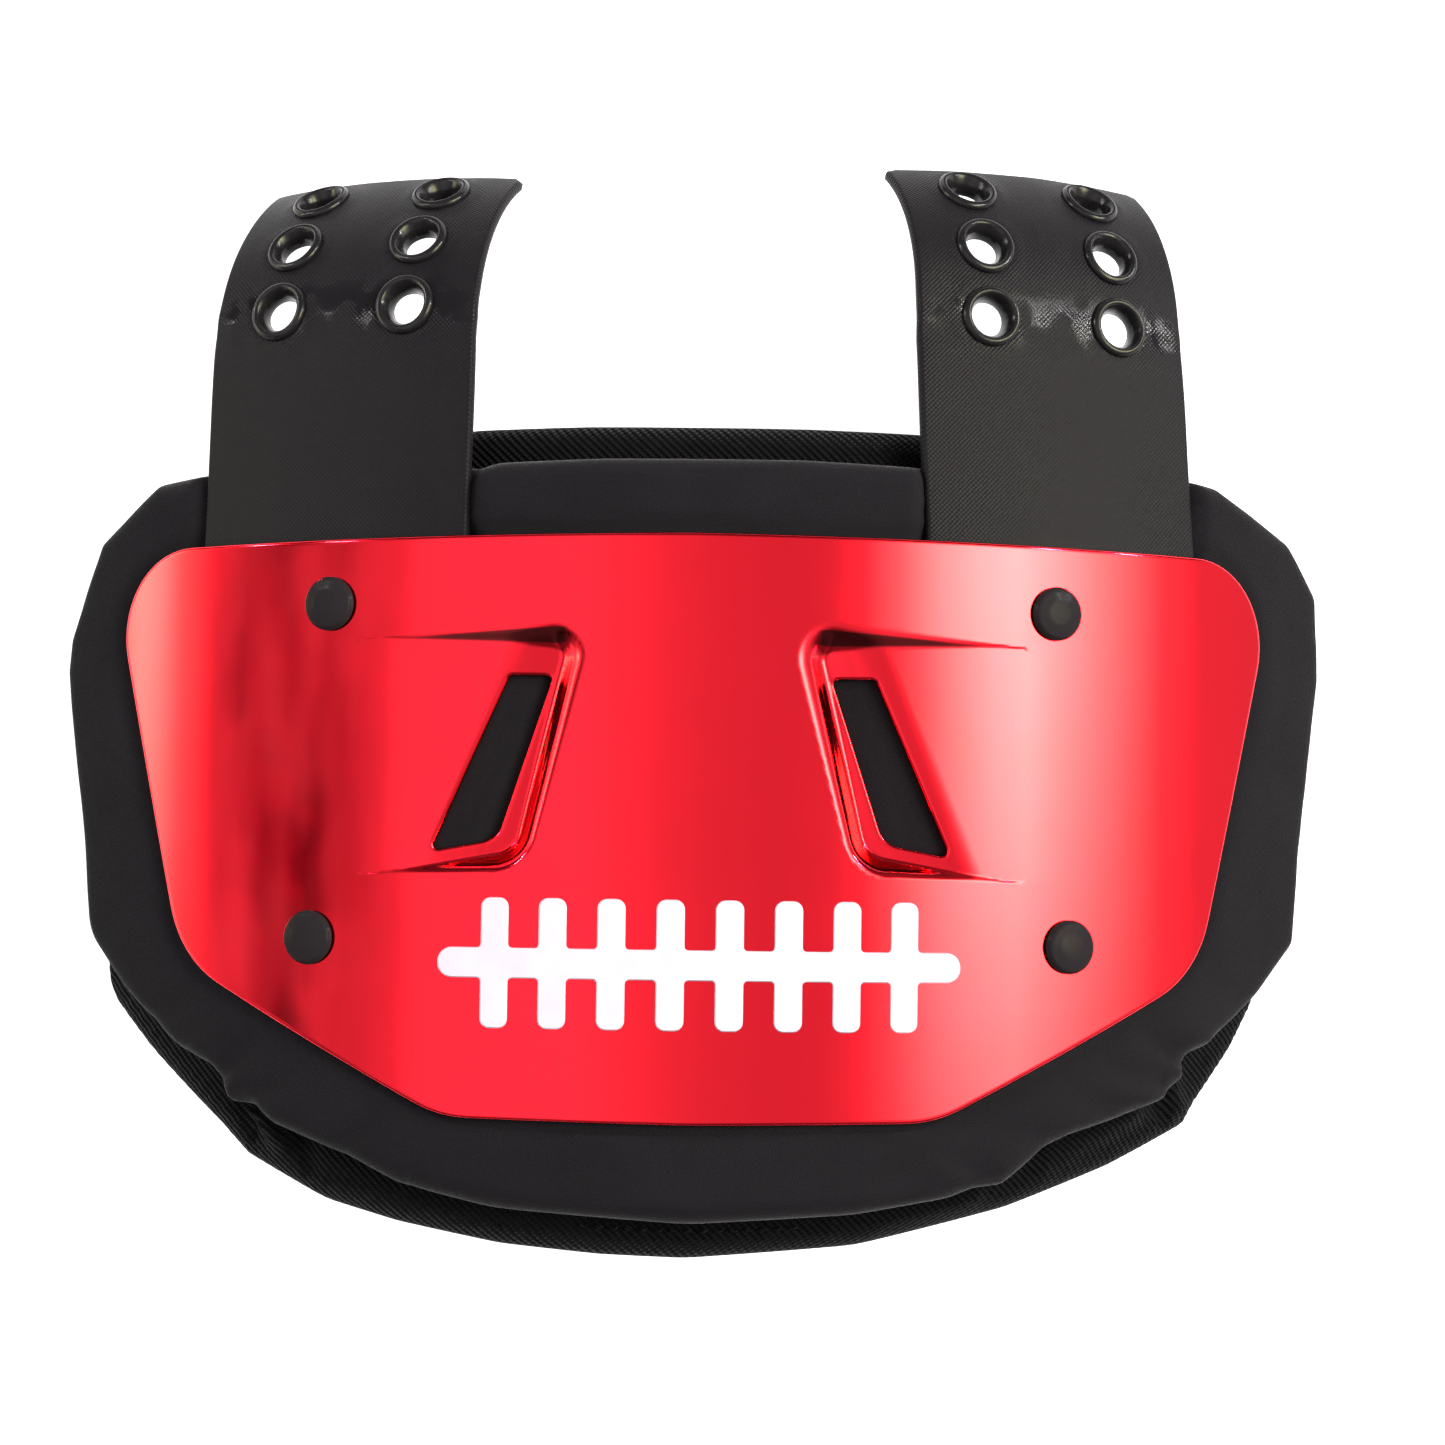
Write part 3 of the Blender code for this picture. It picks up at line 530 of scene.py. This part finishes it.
def smooth_normals(piece, u, v, chosen):
    """Exact normals of the plate's outer face at the chosen points."""
    mesh = piece.data
    step = 0.00004
    normals = np.zeros(len(mesh.vertices) * 3)
    mesh.vertex_normals.foreach_get("vector", normals)
    normals = normals.reshape(-1, 3)
    across = plate_face(u + step, v) - plate_face(u - step, v)
    along = plate_face(u, v + step) - plate_face(u, v - step)
    exact = np.cross(across, along)
    exact /= np.linalg.norm(exact, axis=1, keepdims=True)
    normals[np.where(chosen)[0]] = exact[chosen]
    mesh.normals_split_custom_set_from_vertices(normals.tolist())


def make_plate():
    outline = resampled(two_halves(PLATE_RIGHT, PLATE_LEFT, PLATE_TOP / MM, PLATE_BOTTOM), 0.0013)
    slot = resampled(rounded(SLOT_CORNERS), 0.0008)
    other = (slot * (-1, 1))[::-1]
    insets = [0.00005, 0.00015, 0.0003, 0.0005, 0.0008, 0.0013]

    def near_vent(points):
        u = np.abs(points[:, 0])
        return (u > 0.019) & (u < 0.079) & (points[:, 1] > -0.003) & (points[:, 1] < 0.063)

    def on_wall(points):
        near = near_vent(points)
        near[near] = np.abs(vent_reach(np.abs(points[near] * (1, 0)) + points[near] * (0, 1), -0.0027)) < 0.0037
        return near

    sheet = flat_mesh([outline, slot, other], insets, 0.0024, ((0.0009, near_vent), (0.00042, on_wall)))
    points, _, clear = sheet
    depth = vent_depth(points[:, 0], points[:, 1])
    thin = FLOOR_THINNING * np.minimum(depth / 0.002, 1.0)
    profile = edge_profile(clear, 0.0011, 3.0)
    middle = -PLATE_HALF_THICKNESS - depth + thin
    half = (PLATE_HALF_THICKNESS - thin) * profile
    piece = two_sided("plate_shell", sheet, middle + half, middle - half, shell, RED)
    smooth_normals(piece, points[:, 0], points[:, 1], clear > 0.0012)
    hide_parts("back_plate")
    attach(piece, "root")
    return piece


# Printed lacing below the vents, in millimetres: one long bar and short bars across it
LACE_MIDDLE = (2.5, -20.0)
LACE_LENGTH = 122.0
LACE_BAR = 7.0
LACE_CROSSINGS = 8
LACE_CROSS_HEIGHT = 30.0
LACE_CROSS_WIDTH = 6.5


def make_lacing():
    """The lacing's outline: the long bar with its cross bars, walked clockwise."""
    x, y = LACE_MIDDLE
    pitch = LACE_LENGTH / (LACE_CROSSINGS + 1)
    half, tall, wide = LACE_BAR / 2, LACE_CROSS_HEIGHT / 2, LACE_CROSS_WIDTH / 2
    upper = []
    for number in range(LACE_CROSSINGS):
        middle = x - LACE_LENGTH / 2 + pitch * (number + 1)
        upper += [(middle - wide, y + half, 0.8), (middle - wide, y + tall, 2.2),
                  (middle + wide, y + tall, 2.2), (middle + wide, y + half, 0.8)]
    lower = [(a, 2 * y - b, radius) for a, b, radius in reversed(upper)]
    end = LACE_LENGTH / 2
    corners = [(x - end, y - half, 3.4), (x - end, y + half, 3.4)] + upper
    corners += [(x + end, y + half, 3.4), (x + end, y - half, 3.4)] + lower
    sheet = flat_mesh([resampled(rounded(corners), 0.0006)], [0.0004], 0.0016)
    points = sheet[0]
    top = np.full(len(points), 0.00009)
    piece = two_sided("printed_lacing", sheet, top, top - 0.00006, shell, PRINT)
    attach(piece, "root")
    return piece


# Straps, as in the construction: side, tilt, straight run, radius of the bend, and how
# each one sits: a shift sideways, a lean, and its spread at the plate and at its end

STRAP_CENTRE = 0.090
STRAP_HALF_WIDTH = 0.03495
STRAP_HALF_THICKNESS = 0.0013
STRAP_MIDDLE = -0.0046
STRAP_ARCH = 0.310
STRAP_END = 0.102
STRAP_TUCK = -0.028
STRAPS = {
    "left": (-1, math.radians(4.1), 0.0460, 0.0545, 0.0, -0.004, 1.0, 0.965),
    "right": (1, math.radians(7.5), 0.0614, 0.0449, 0.0022, -0.002, 1.026, 0.985),
}
EYELET_ROWS = (0.055, 0.073, 0.091)
EYELET_COLUMNS = (-0.017, 0.017)
EYELET_BARREL = 0.0052


def strap_run(strap, along):
    """Rise, fall and tilt of a strap at a length from the plate's edge."""
    tilt, straight, bend = strap[1:4]
    below = np.minimum(along, 0.0)
    run = np.clip(along, 0.0, straight)
    turn = np.maximum(along - straight, 0.0) / bend
    rise = below + run * math.cos(tilt) + bend * (np.sin(tilt + turn) - math.sin(tilt))
    fall = run * math.sin(tilt) + bend * (math.cos(tilt) - np.cos(tilt + turn))
    return rise, fall, np.where(along > 0, tilt + turn, 0.0)


def on_strap(strap, across, along, lift):
    side, _, straight, _, shift, lean, low_spread, end_spread = strap
    angle = side * STRAP_CENTRE / SHELL_RADIUS
    outwards = np.array((math.sin(angle), 0.0, math.cos(angle)))
    sideways = np.array((math.cos(angle), 0.0, -math.sin(angle)))
    upwards = np.array((0.0, 1.0, 0.0))
    rise, fall, tilt = strap_run(strap, along)
    shell_arch = SHELL_RADIUS + STRAP_MIDDLE
    arch = shell_arch + (STRAP_ARCH - shell_arch) * step_up(along, 0.0, straight)
    facing = np.cos(tilt)[:, None] * outwards + np.sin(tilt)[:, None] * upwards
    base = shell(np.array([side * STRAP_CENTRE]), np.array([PLATE_TOP]), np.array([STRAP_MIDDLE]))
    bow = lift - across * across / (2 * arch)
    spread = low_spread + (end_spread - low_spread) * step_up(along, 0.3 * STRAP_END, STRAP_END)
    across = across * spread + shift + lean * np.maximum(along, 0.0)
    return base + rise[:, None] * upwards - fall[:, None] * outwards + across[:, None] * sideways + bow[:, None] * facing


def circle(x, y, radius, count):
    turn = -np.arange(count) * 2 * math.pi / count
    return np.stack([x + radius * np.cos(turn), y + radius * np.sin(turn)], axis=1)


def make_strap(name, strap):
    half = STRAP_HALF_WIDTH / MM
    end, tuck = STRAP_END / MM, STRAP_TUCK / MM
    corners = ((-half, end, 1.2), (half, end, 1.2), (half, -7, 1), (17, tuck + 5, 1),
               (17, tuck, 1.2), (-17, tuck, 1.2), (-17, tuck + 5, 1), (-half, -7, 1))
    rims = [resampled(rounded(corners), 0.0016)]
    rims += [circle(x, y, EYELET_BARREL + 0.0002, 36) for y in EYELET_ROWS for x in EYELET_COLUMNS]
    sheet = flat_mesh(rims, [0.0001, 0.0003, 0.0006, 0.001], 0.0018)
    points, _, clear = sheet
    profile = edge_profile(clear, 0.0009, 2.5)
    ripple = 0.00025 * wobble(points[:, 0], points[:, 1], 0.022, 3.0 + strap[0])
    holes = np.min([distance_to(points, rim) for rim in rims[1:]], axis=0)
    ripple = ripple * step_up(holes, 0.003, 0.010) * step_up(points[:, 1], 0.002, 0.02)
    ripple += 0.0003 * np.exp(-((holes - 0.0033) / 0.0011) ** 2)
    first_row = np.exp(-((points[:, 1] - EYELET_ROWS[0] + 0.003) / 0.006) ** 2)
    dents = wobble(points[:, 0], points[:, 1], 0.0065, 8.0 + strap[0])
    ripple += 0.0005 * dents * first_row * step_up(holes, 0.0035, 0.007)
    half_lift = STRAP_HALF_THICKNESS * profile
    piece = two_sided(name + "_strap_web", sheet, ripple + half_lift, ripple - half_lift,
                      lambda u, v, lift: on_strap(strap, u, v, lift), STRAP)
    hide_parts("strap_" + name)
    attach(piece, "root")
    return piece


def turned(profile, sides, closed):
    """Rings of a turned body: points (x, y, height) and faces. The profile runs down."""
    count = len(profile)
    turn = np.arange(sides) * 2 * math.pi / sides
    points = np.array([(r * math.cos(a), r * math.sin(a), h) for a in turn for r, h in profile])
    faces = []
    for ring in range(sides):
        after = (ring + 1) % sides
        for row in range(count if closed else count - 1):
            below = (row + 1) % count
            faces.append((ring * count + row, ring * count + below, after * count + below, after * count + row))
    if not closed:
        faces.append([ring * count for ring in range(sides)])
        faces.append([ring * count + count - 1 for ring in reversed(range(sides))])
    return points, faces


def arc(centre_r, centre_h, radius, start, end, steps):
    """Profile points on an arc, by angles in degrees from +r towards +height."""
    angles = np.radians(np.linspace(start, end, steps))
    return [(centre_r + radius * math.cos(a), centre_h + radius * math.sin(a)) for a in angles]


def eyelet_profile():
    """Rolled eyelet: domed flange over the strap, flared throat, barrel and back washer."""
    seat = STRAP_HALF_THICKNESS + 0.0002
    crown = arc(0.0062, seat + 0.0001, 0.0012, 0, 90, 7)
    lip = arc(0.0062, seat + 0.0004, 0.0009, 90, 150, 4)
    throat = [(0.0051, seat + 0.0002), (0.0047, seat - 0.0006), (0.0044, 0.0), (0.0044, -seat - 0.0008)]
    inner = [(0.0046, -seat - 0.0011), (0.0068, -seat - 0.0010), (0.0072, -seat - 0.0006), (0.0072, -seat)]
    barrel = [(0.0052, -seat), (0.0052, seat)]
    outer = [(0.0074, seat)]
    return (crown + lip + throat + inner + barrel + outer)[::-1]


def make_eyelets(name, strap):
    profile = eyelet_profile()[::-1]
    for row, along in enumerate(EYELET_ROWS, 1):
        for column, across in enumerate(EYELET_COLUMNS, 1):
            points, faces = turned(profile[::-1], 40, True)
            flat = points + (across, along, 0.0)
            places = on_strap(strap, flat[:, 0], flat[:, 1], flat[:, 2])
            node = "eyelet_%s_%d_%d" % (name, row, column)
            piece = make_object("ring_" + node, places, faces, flat, EYELET)
            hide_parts(node)
            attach(piece, "root")


RIVET_PLACES = {
    "upper": (0.087, 0.063, 0.0059),
    "lower": (0.091, -0.015, 0.003),
}


def make_rivets():
    """Domed heads with a flat crown and a rolled rim, on the plate's outer face."""
    for level, (out, up, grip) in RIVET_PLACES.items():
        for name, side in (("left", -1), ("right", 1)):
            crown = [(0.0, 0.0026), (0.0022, 0.00258), (0.0036, 0.00245), (0.0046, 0.0021)]
            shoulder = arc(0.0048, 0.0009, 0.00125, 68, 20, 5)
            rim = arc(0.0058, 0.0007, 0.00055, 60, -60, 6)
            tail = [(0.0025, 0.0003), (0.0025, -grip - 0.0003), (0.005, -grip - 0.0003), (0.005, -grip - 0.0012),
                    (0.0, -grip - 0.0012)]
            profile = crown + shoulder + rim + tail
            points, faces = turned([(max(r, 1e-5), h) for r, h in profile], 48, False)
            angle = side * out / SHELL_RADIUS
            facing = Matrix.Rotation(angle, 3, "Y")
            base = shell(np.array([side * out]), np.array([up]), np.array([0.0]))[0]
            places = points @ np.array(facing.transposed()) + base
            node = "rivet_%s_%s" % (level, name)
            piece = make_object("head_" + node, places, faces, points, RIVET)
            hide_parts(node)
            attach(piece, "root")


# Pads

# Corners of the front pad's right and left halves, from the top down, in millimetres:
# along the curve, height, radius
PAD_RIGHT = (
    (26, 97.6, 60), (55, 96.8, 40), (129, 98.2, 6), (138, 97.0, 5), (163, 85.4, 5), (174.6, 72.5, 6),
    (175.8, 51, 12), (168, 8, 60), (165.6, -15, 5), (151, -29, 18), (135, -39.2, 4), (129.6, -41.0, 2),
    (128.4, -46.5, 2.5), (122.5, -51.6, 4), (110, -55.6, 12), (95.5, -59.4, 5), (88.4, -62.4, 6),
    (77.4, -70.7, 2.5), (70, -71.4, 3), (64, -73.6, 10), (40, -77.3, 60),
)
PAD_LEFT = (
    (22, 97.3, 60), (47, 96.4, 6), (53, 95.0, 6), (62, 96.0, 10), (125, 96.2, 5), (142.4, 94.4, 4), (161.8, 81.2, 4),
    (172.8, 57.4, 3), (174.2, 49, 5), (171, 30, 30), (166.6, 8, 60), (163.8, -16, 14), (150.8, -28.6, 20),
    (140, -37, 20), (132, -42.5, 6), (122, -46.2, 4), (116.3, -54.6, 1.6), (109, -55.2, 2.5),
    (103.5, -59.4, 4), (94, -62.6, 12), (82.5, -66.3, 12), (70.5, -71.6, 6), (62.5, -73.4, 10), (46, -76.8, 60),
)
MESH_RIGHT = (
    (30, 106.8, 60), (60, 106.6, 15), (120, 95, 25), (156, 81, 20), (171, 58, 20), (174.5, 42, 20),
    (172, -9, 30), (167, -30, 12), (158, -41.4, 10), (144.8, -54.2, 4), (140.6, -59.4, 3), (116, -68.4, 30),
    (85, -77.5, 40), (44, -85.8, 60),
)
MESH_LEFT = (
    (28, 106.6, 60), (58, 106.0, 15), (120, 95, 25), (156, 81, 20), (171, 58, 20), (174.5, 42, 20),
    (175, -9, 30), (172.4, -31, 14), (154.6, -44.8, 30), (129.5, -61.6, 10), (120.6, -68.4, 6), (97, -77.8, 30),
    (76, -82.2, 40), (48, -86.4, 60), (22, -88.3, 60),
)
PAD_FRONT, PAD_BACK = -0.0033, -0.0153
MESH_FRONT, MESH_BACK = -0.0156, -0.0296


def groove_press(u, v):
    """How far the straps press the front pad in."""
    press = np.zeros(len(u))
    for strap in STRAPS.values():
        along = v - PLATE_TOP
        gap = STRAP_HALF_WIDTH + 0.0008 - np.abs(u - strap[0] * STRAP_CENTRE - strap[4])
        sideways = step_up(gap, -0.0045, 0.0)
        upwards = step_up(along, STRAP_TUCK - 0.004, STRAP_TUCK)
        fall = strap_run(strap, np.maximum(along, 0.0))[1]
        press = np.maximum(press, (2 * STRAP_HALF_THICKNESS + 0.0006 + fall) * sideways * upwards)
    return press


# Folds pressed into the knit cover, or raised where the depth is below zero: ends (u, v),
# width and depth, in millimetres
CREASES = (
    ((-119, -49), (-101, -36), 2.4, 2.6),
    ((-124, -44), (-112, -34), 3.0, -1.0),
    ((-112, -54), (-97, -48), 2.2, 2.0),
    ((-106, -57), (-92, -51), 3.2, -0.9),
    ((-140, -36), (-126, -31), 3.0, 1.2),
    ((-84, -65), (-74, -56), 2.6, 1.4),
    ((-66, -72), (-52, -64), 2.2, 1.2),
    ((-44, -76), (-30, -66), 3.0, 0.6),
    ((129, -43), (112, -36), 2.2, 2.6),
    ((134, -38), (120, -31), 3.0, -1.2),
    ((127, -50), (104, -43), 2.4, 2.2),
    ((121, -52), (100, -48), 3.0, -0.9),
    ((112, -55), (92, -50), 3.0, 1.6),
    ((90, -61), (72, -57), 2.8, 1.6),
    ((76, -70), (60, -63), 2.2, 1.8),
    ((66, -73), (44, -69), 2.6, 1.2),
    ((150, -29), (128, -26), 3.2, 0.9),
)
# Gathers of the ribbed cover, in the same way
GATHERS = (
    ((-115, -52), (-108, -63), 2.8, -7.5),
    ((-121, -50), (-115, -62), 2.4, 2.4),
    ((-102, -57), (-99, -70), 2.4, 2.0),
    ((131, -46), (135, -54), 3.0, -3.4),
    ((127, -48), (131, -57), 2.2, 2.2),
    ((120, -55), (94, -66), 3.0, -3.6),
    ((74, -74), (48, -80), 2.6, -1.4),
)


def folds(u, v, lines, fade=0.85):
    points = np.stack([u, v], axis=1)
    total = np.zeros(len(u))
    for start, end, width, depth in lines:
        a, b = np.array(start) * MM, np.array(end) * MM
        ab = b - a
        t = np.clip(((points - a) @ ab) / (ab @ ab), 0.0, 1.0)
        gap = np.linalg.norm(points - a - t[:, None] * ab, axis=1)
        total += depth * MM * np.exp(-(gap / (width * MM)) ** 2) * (1 - fade * t)
    return total


PLATE_LINE = resampled(two_halves(PLATE_RIGHT, PLATE_LEFT, PLATE_TOP / MM, PLATE_BOTTOM), 0.004)


def make_front_pad():
    outline = resampled(two_halves(PAD_RIGHT, PAD_LEFT, 97.4, -79.6), 0.0014)
    sheet = flat_mesh([outline], [0.0002, 0.0006, 0.0012, 0.002, 0.003, 0.0042, 0.0056], 0.0024)
    points, _, clear = sheet
    u, v = points.T
    middle, half = (PAD_FRONT + PAD_BACK) / 2, (PAD_FRONT - PAD_BACK) / 2
    profile = edge_profile(clear, 0.0058, 2.2)
    under = inside(points, PLATE_LINE)
    free = np.where(under, -1, 1) * distance_to(points, PLATE_LINE)
    swell = 0.0012 * step_up(free, 0.0, 0.006)
    soft = 0.0005 * wobble(u, v, 0.03, 1.0) + 0.0002 * wobble(u, v, 0.009, 2.0)
    front = middle + half * profile + (swell + soft * step_up(free, -0.002, 0.004)) * profile
    seam = 0.0011 * np.exp(-((free - 0.0003) / 0.0011) ** 2)
    pressed = groove_press(u, v) + seam + folds(u, v, CREASES) * step_up(free, -0.001, 0.004)
    front = front - pressed * profile
    pocket = vent_depth(u, v, 0.0026)
    front = np.where(pocket > 0, np.minimum(front, -pocket - 0.0027), front)
    back = middle - half * profile
    piece = two_sided("knit_pad", sheet, front, back, shell, KNIT)
    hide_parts("front_pad")
    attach(piece, "root")
    return piece


def make_mesh_pad():
    outline = resampled(two_halves(MESH_RIGHT, MESH_LEFT, 106.6, -88.9), 0.0011)
    sheet = flat_mesh([outline], [0.0002, 0.0007, 0.0014, 0.0023, 0.0034, 0.0048, 0.0064], 0.0028)
    points, _, clear = sheet
    u, v = points.T
    middle, half = (MESH_FRONT + MESH_BACK) / 2, (MESH_FRONT - MESH_BACK) / 2
    profile = edge_profile(clear, 0.0066, 2.1)
    turn = math.radians(32)
    phase = (u * math.cos(turn) + v * math.sin(turn)) / (1.82 * MM)
    rib = 0.00022 * np.sin(2 * math.pi * phase) * step_up(0.008 - clear, 0.0, 0.002)
    soft = 0.0006 * wobble(u, v, 0.035, 5.0)
    front = middle + half * profile + (rib - folds(u, v, GATHERS, 0.5)) * profile
    back = middle - half * profile - (rib + soft) * profile
    floor = max(0.0, cad_low.z)

    def place(a, b, lift):
        where = shell(a, b, lift)
        where[:, 2] = np.maximum(where[:, 2], floor)
        return where

    piece = two_sided("ribbed_pad", sheet, front, back, place, MESH)
    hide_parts("mesh_pad")
    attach(piece, "root")
    return piece


def make_stitches():
    """A row of stitches in the valley below the knit pad."""
    places = []
    faces = []
    flats = []
    points, rounds = turned([(0.00001, 0.0004)] + [(0.0004 * math.sin(a), 0.0004 * math.cos(a))
                            for a in (0.6, 1.2, 1.8, 2.4)] + [(0.00001, -0.0004)], 10, False)
    count = 15
    for number in range(count):
        u = (-25 + 52 * number / (count - 1)) * MM
        v = (-81.6 + 8.5 * (abs(u) / 0.076) ** 2.2) * MM
        flat = points * (2.6, 1.0, 1.0) + (u, v, -0.0142)
        start = len(places) * len(points)
        places.append(shell(flat[:, 0], flat[:, 1], flat[:, 2]))
        flats.append(flat)
        faces += [[start + corner for corner in face] for face in rounds]
    piece = make_object("hem_stitches", np.vstack(places), faces, np.vstack(flats), MESH)
    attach(piece, "root")


make_plate()
make_lacing()
for strap_name, strap_values in STRAPS.items():
    make_strap(strap_name, strap_values)
    make_eyelets(strap_name, strap_values)
make_rivets()
make_front_pad()
make_mesh_pad()
make_stitches()

# Studio


def make_floor():
    bpy.ops.mesh.primitive_plane_add(size=30.0, location=(0, 0, 0))
    floor = bpy.context.object
    floor.name = "studio_floor"
    material, _, shader = new_material("studio_floor", (0.6, 0.6, 0.6), 0.8)
    shader.inputs["Emission Color"].default_value = (1, 1, 1, 1)
    shader.inputs["Emission Strength"].default_value = 0.85
    floor.data.materials.append(material)


# The room by the angle from straight up towards the plate's right side, in degrees:
# brightness of its walls, of its lamps, and how far the walls' dark patches break it up
ROOM_BANDS = (
    (-90, 0.8, 2, 0), (-82, 0.8, 8, 0), (-79, 0.8, 12, 0), (-76, 0.8, 9.5, 0), (-72, 0.8, 2.6, 0),
    (-67, 0.8, 0, 0.1), (-63, 0.70, 0, 0.5), (-58, 0.46, 0, 0.9), (-54, 0.38, 0, 1), (-50, 0.52, 0, 0.9),
    (-46, 0.74, 0, 0.5), (-41, 0.88, 0, 0.1), (-38.4, 0.95, 0, 0), (-36.9, 1.38, 0, 0), (-34, 1.5, 0, 0),
    (-14, 1.55, 0, 0), (-8, 1.2, 0, 0), (-3, 1.0, 0, 0), (3, 0.87, 0, 0), (12, 0.79, 0, 0), (18, 0.83, 0, 0),
    (22.5, 0.95, 0.3, 0), (27, 1.2, 4, 0), (33, 1.4, 15, 0), (38, 1.4, 22, 0), (43.5, 1.4, 26, 0),
    (49, 1.3, 18, 0), (55, 1.2, 10, 0), (60, 1.1, 4.8, 0), (65, 1.0, 0.8, 0), (71, 0.95, 0, 0), (90, 0.8, 0, 0),
)
WALL_TOP = 2.0
LAMP_TOP = 32.0
LAMP_COLOUR = (1.2, 1.17, 0.60)
LAMP_PLAIN = (1.12, 1.08, 1.04)
LAMP_MIDDLE = 0.12
LAMP_REACH = 0.18


def make_room():
    world = bpy.data.worlds.new("studio_room")
    bpy.context.scene.world = world
    world.use_nodes = True
    tree = world.node_tree
    background = tree.nodes["Background"]
    place = add(tree, "ShaderNodeTexCoord")
    split = add(tree, "ShaderNodeSeparateXYZ")
    tree.links.new(place.outputs["Generated"], split.inputs[0])
    angle = maths(tree, "ARCTAN2", split.outputs["X"], split.outputs["Z"])
    share = mapped(tree, angle, 0.0, 1.0, -math.pi / 2, math.pi / 2)
    ramp = add(tree, "ShaderNodeValToRGB")
    elements = ramp.color_ramp.elements
    while len(elements) < len(ROOM_BANDS):
        elements.new(0.5)
    for element, (degrees, walls, lamps, patches) in zip(elements, ROOM_BANDS):
        element.position = (degrees + 90) / 180
        element.color = (walls / WALL_TOP, lamps / LAMP_TOP, patches, 1)
    tree.links.new(share, ramp.inputs["Fac"])
    levels = add(tree, "ShaderNodeSeparateColor")
    tree.links.new(ramp.outputs["Color"], levels.inputs[0])
    stretch = add(tree, "ShaderNodeMapping")
    stretch.inputs["Scale"].default_value = (9.0, 22.0, 9.0)
    tree.links.new(place.outputs["Generated"], stretch.inputs["Vector"])
    cloud = mapped(tree, noise_at(tree, stretch.outputs["Vector"], 1.0, 4.0), -0.9, 1.1, 0.36, 0.64)
    broken = maths(tree, "ADD", maths(tree, "MULTIPLY", cloud, levels.outputs["Blue"]), 1.0)
    height = split.outputs["Y"]
    fade = mapped(tree, maths(tree, "ABSOLUTE", height, 0.0), 1.0, 0.22, 0.25, 0.55)
    walls = maths(tree, "MULTIPLY", maths(tree, "MULTIPLY", levels.outputs["Red"], broken), fade)
    off = maths(tree, "DIVIDE", maths(tree, "SUBTRACT", height, LAMP_MIDDLE), LAMP_REACH)
    reach = maths(tree, "EXPONENT", maths(tree, "MULTIPLY", maths(tree, "MULTIPLY", off, off), -1.0), 0.0)
    lamps = maths(tree, "MULTIPLY", levels.outputs["Green"], reach)
    wall_light = add(tree, "ShaderNodeCombineXYZ")
    for socket in wall_light.inputs:
        tree.links.new(maths(tree, "MULTIPLY", walls, WALL_TOP), socket)
    lamp_light = add(tree, "ShaderNodeCombineXYZ")
    gloss = add(tree, "ShaderNodeLightPath").outputs["Is Glossy Ray"]
    for socket, tint, plain in zip(lamp_light.inputs, LAMP_COLOUR, LAMP_PLAIN):
        colour = maths(tree, "ADD", maths(tree, "MULTIPLY", gloss, LAMP_TOP * (tint - plain)), LAMP_TOP * plain)
        tree.links.new(maths(tree, "MULTIPLY", lamps, colour), socket)
    both = add(tree, "ShaderNodeVectorMath", operation="ADD")
    tree.links.new(wall_light.outputs[0], both.inputs[0])
    tree.links.new(lamp_light.outputs[0], both.inputs[1])
    tree.links.new(both.outputs[0], background.inputs["Color"])
    background.inputs["Strength"].default_value = 1.0


# Softboxes above the straps: place, width, height and power
SOFTBOXES = (
    ((0.867, 0.513, 0.700), 0.10, 0.05, 4.0),
    ((1.020, 0.493, 0.512), 0.12, 0.05, 4.0),
    ((-0.856, 0.552, 0.679), 0.10, 0.05, 2.2),
    ((-1.010, 0.530, 0.494), 0.10, 0.05, 2.2),
)


def make_softboxes():
    for number, (place, width, height, power) in enumerate(SOFTBOXES):
        data = bpy.data.lights.new("softbox_%d" % number, "AREA")
        data.shape = "RECTANGLE"
        data.size = width
        data.size_y = height
        data.energy = power
        lamp = bpy.data.objects.new(data.name, data)
        lamp.location = place
        lamp.rotation_euler = Vector(place).to_track_quat("Z", "Y").to_euler()
        bpy.context.scene.collection.objects.link(lamp)


def make_camera():
    data = bpy.data.cameras.new("camera")
    data.sensor_width = SENSOR
    data.lens = SENSOR * PIXELS_PER_METRE * CAMERA_HEIGHT / FRAME_PIXELS
    camera = bpy.data.objects.new("camera", data)
    bpy.context.scene.collection.objects.link(camera)
    right = Vector((math.cos(CAMERA_ROLL), math.sin(CAMERA_ROLL), 0))
    up = Vector((-math.sin(CAMERA_ROLL), math.cos(CAMERA_ROLL), 0))
    middle = FRAME_PIXELS / 2
    aim = right * (middle - FOOT_PIXEL[0]) + up * (FOOT_PIXEL[1] - middle)
    aim = (aim + Vector((0, 0, -PIXELS_PER_METRE * CAMERA_HEIGHT))).normalized()
    side = aim.cross(up).normalized()
    top = side.cross(aim)
    turn = Matrix((side, top, -aim)).transposed()
    camera.matrix_world = Matrix.Translation((0, DATUM, APEX + CAMERA_HEIGHT)) @ turn.to_4x4()
    bpy.context.scene.camera = camera


make_floor()
make_room()
make_softboxes()
make_camera()
bpy.context.scene.view_settings.view_transform = "Standard"
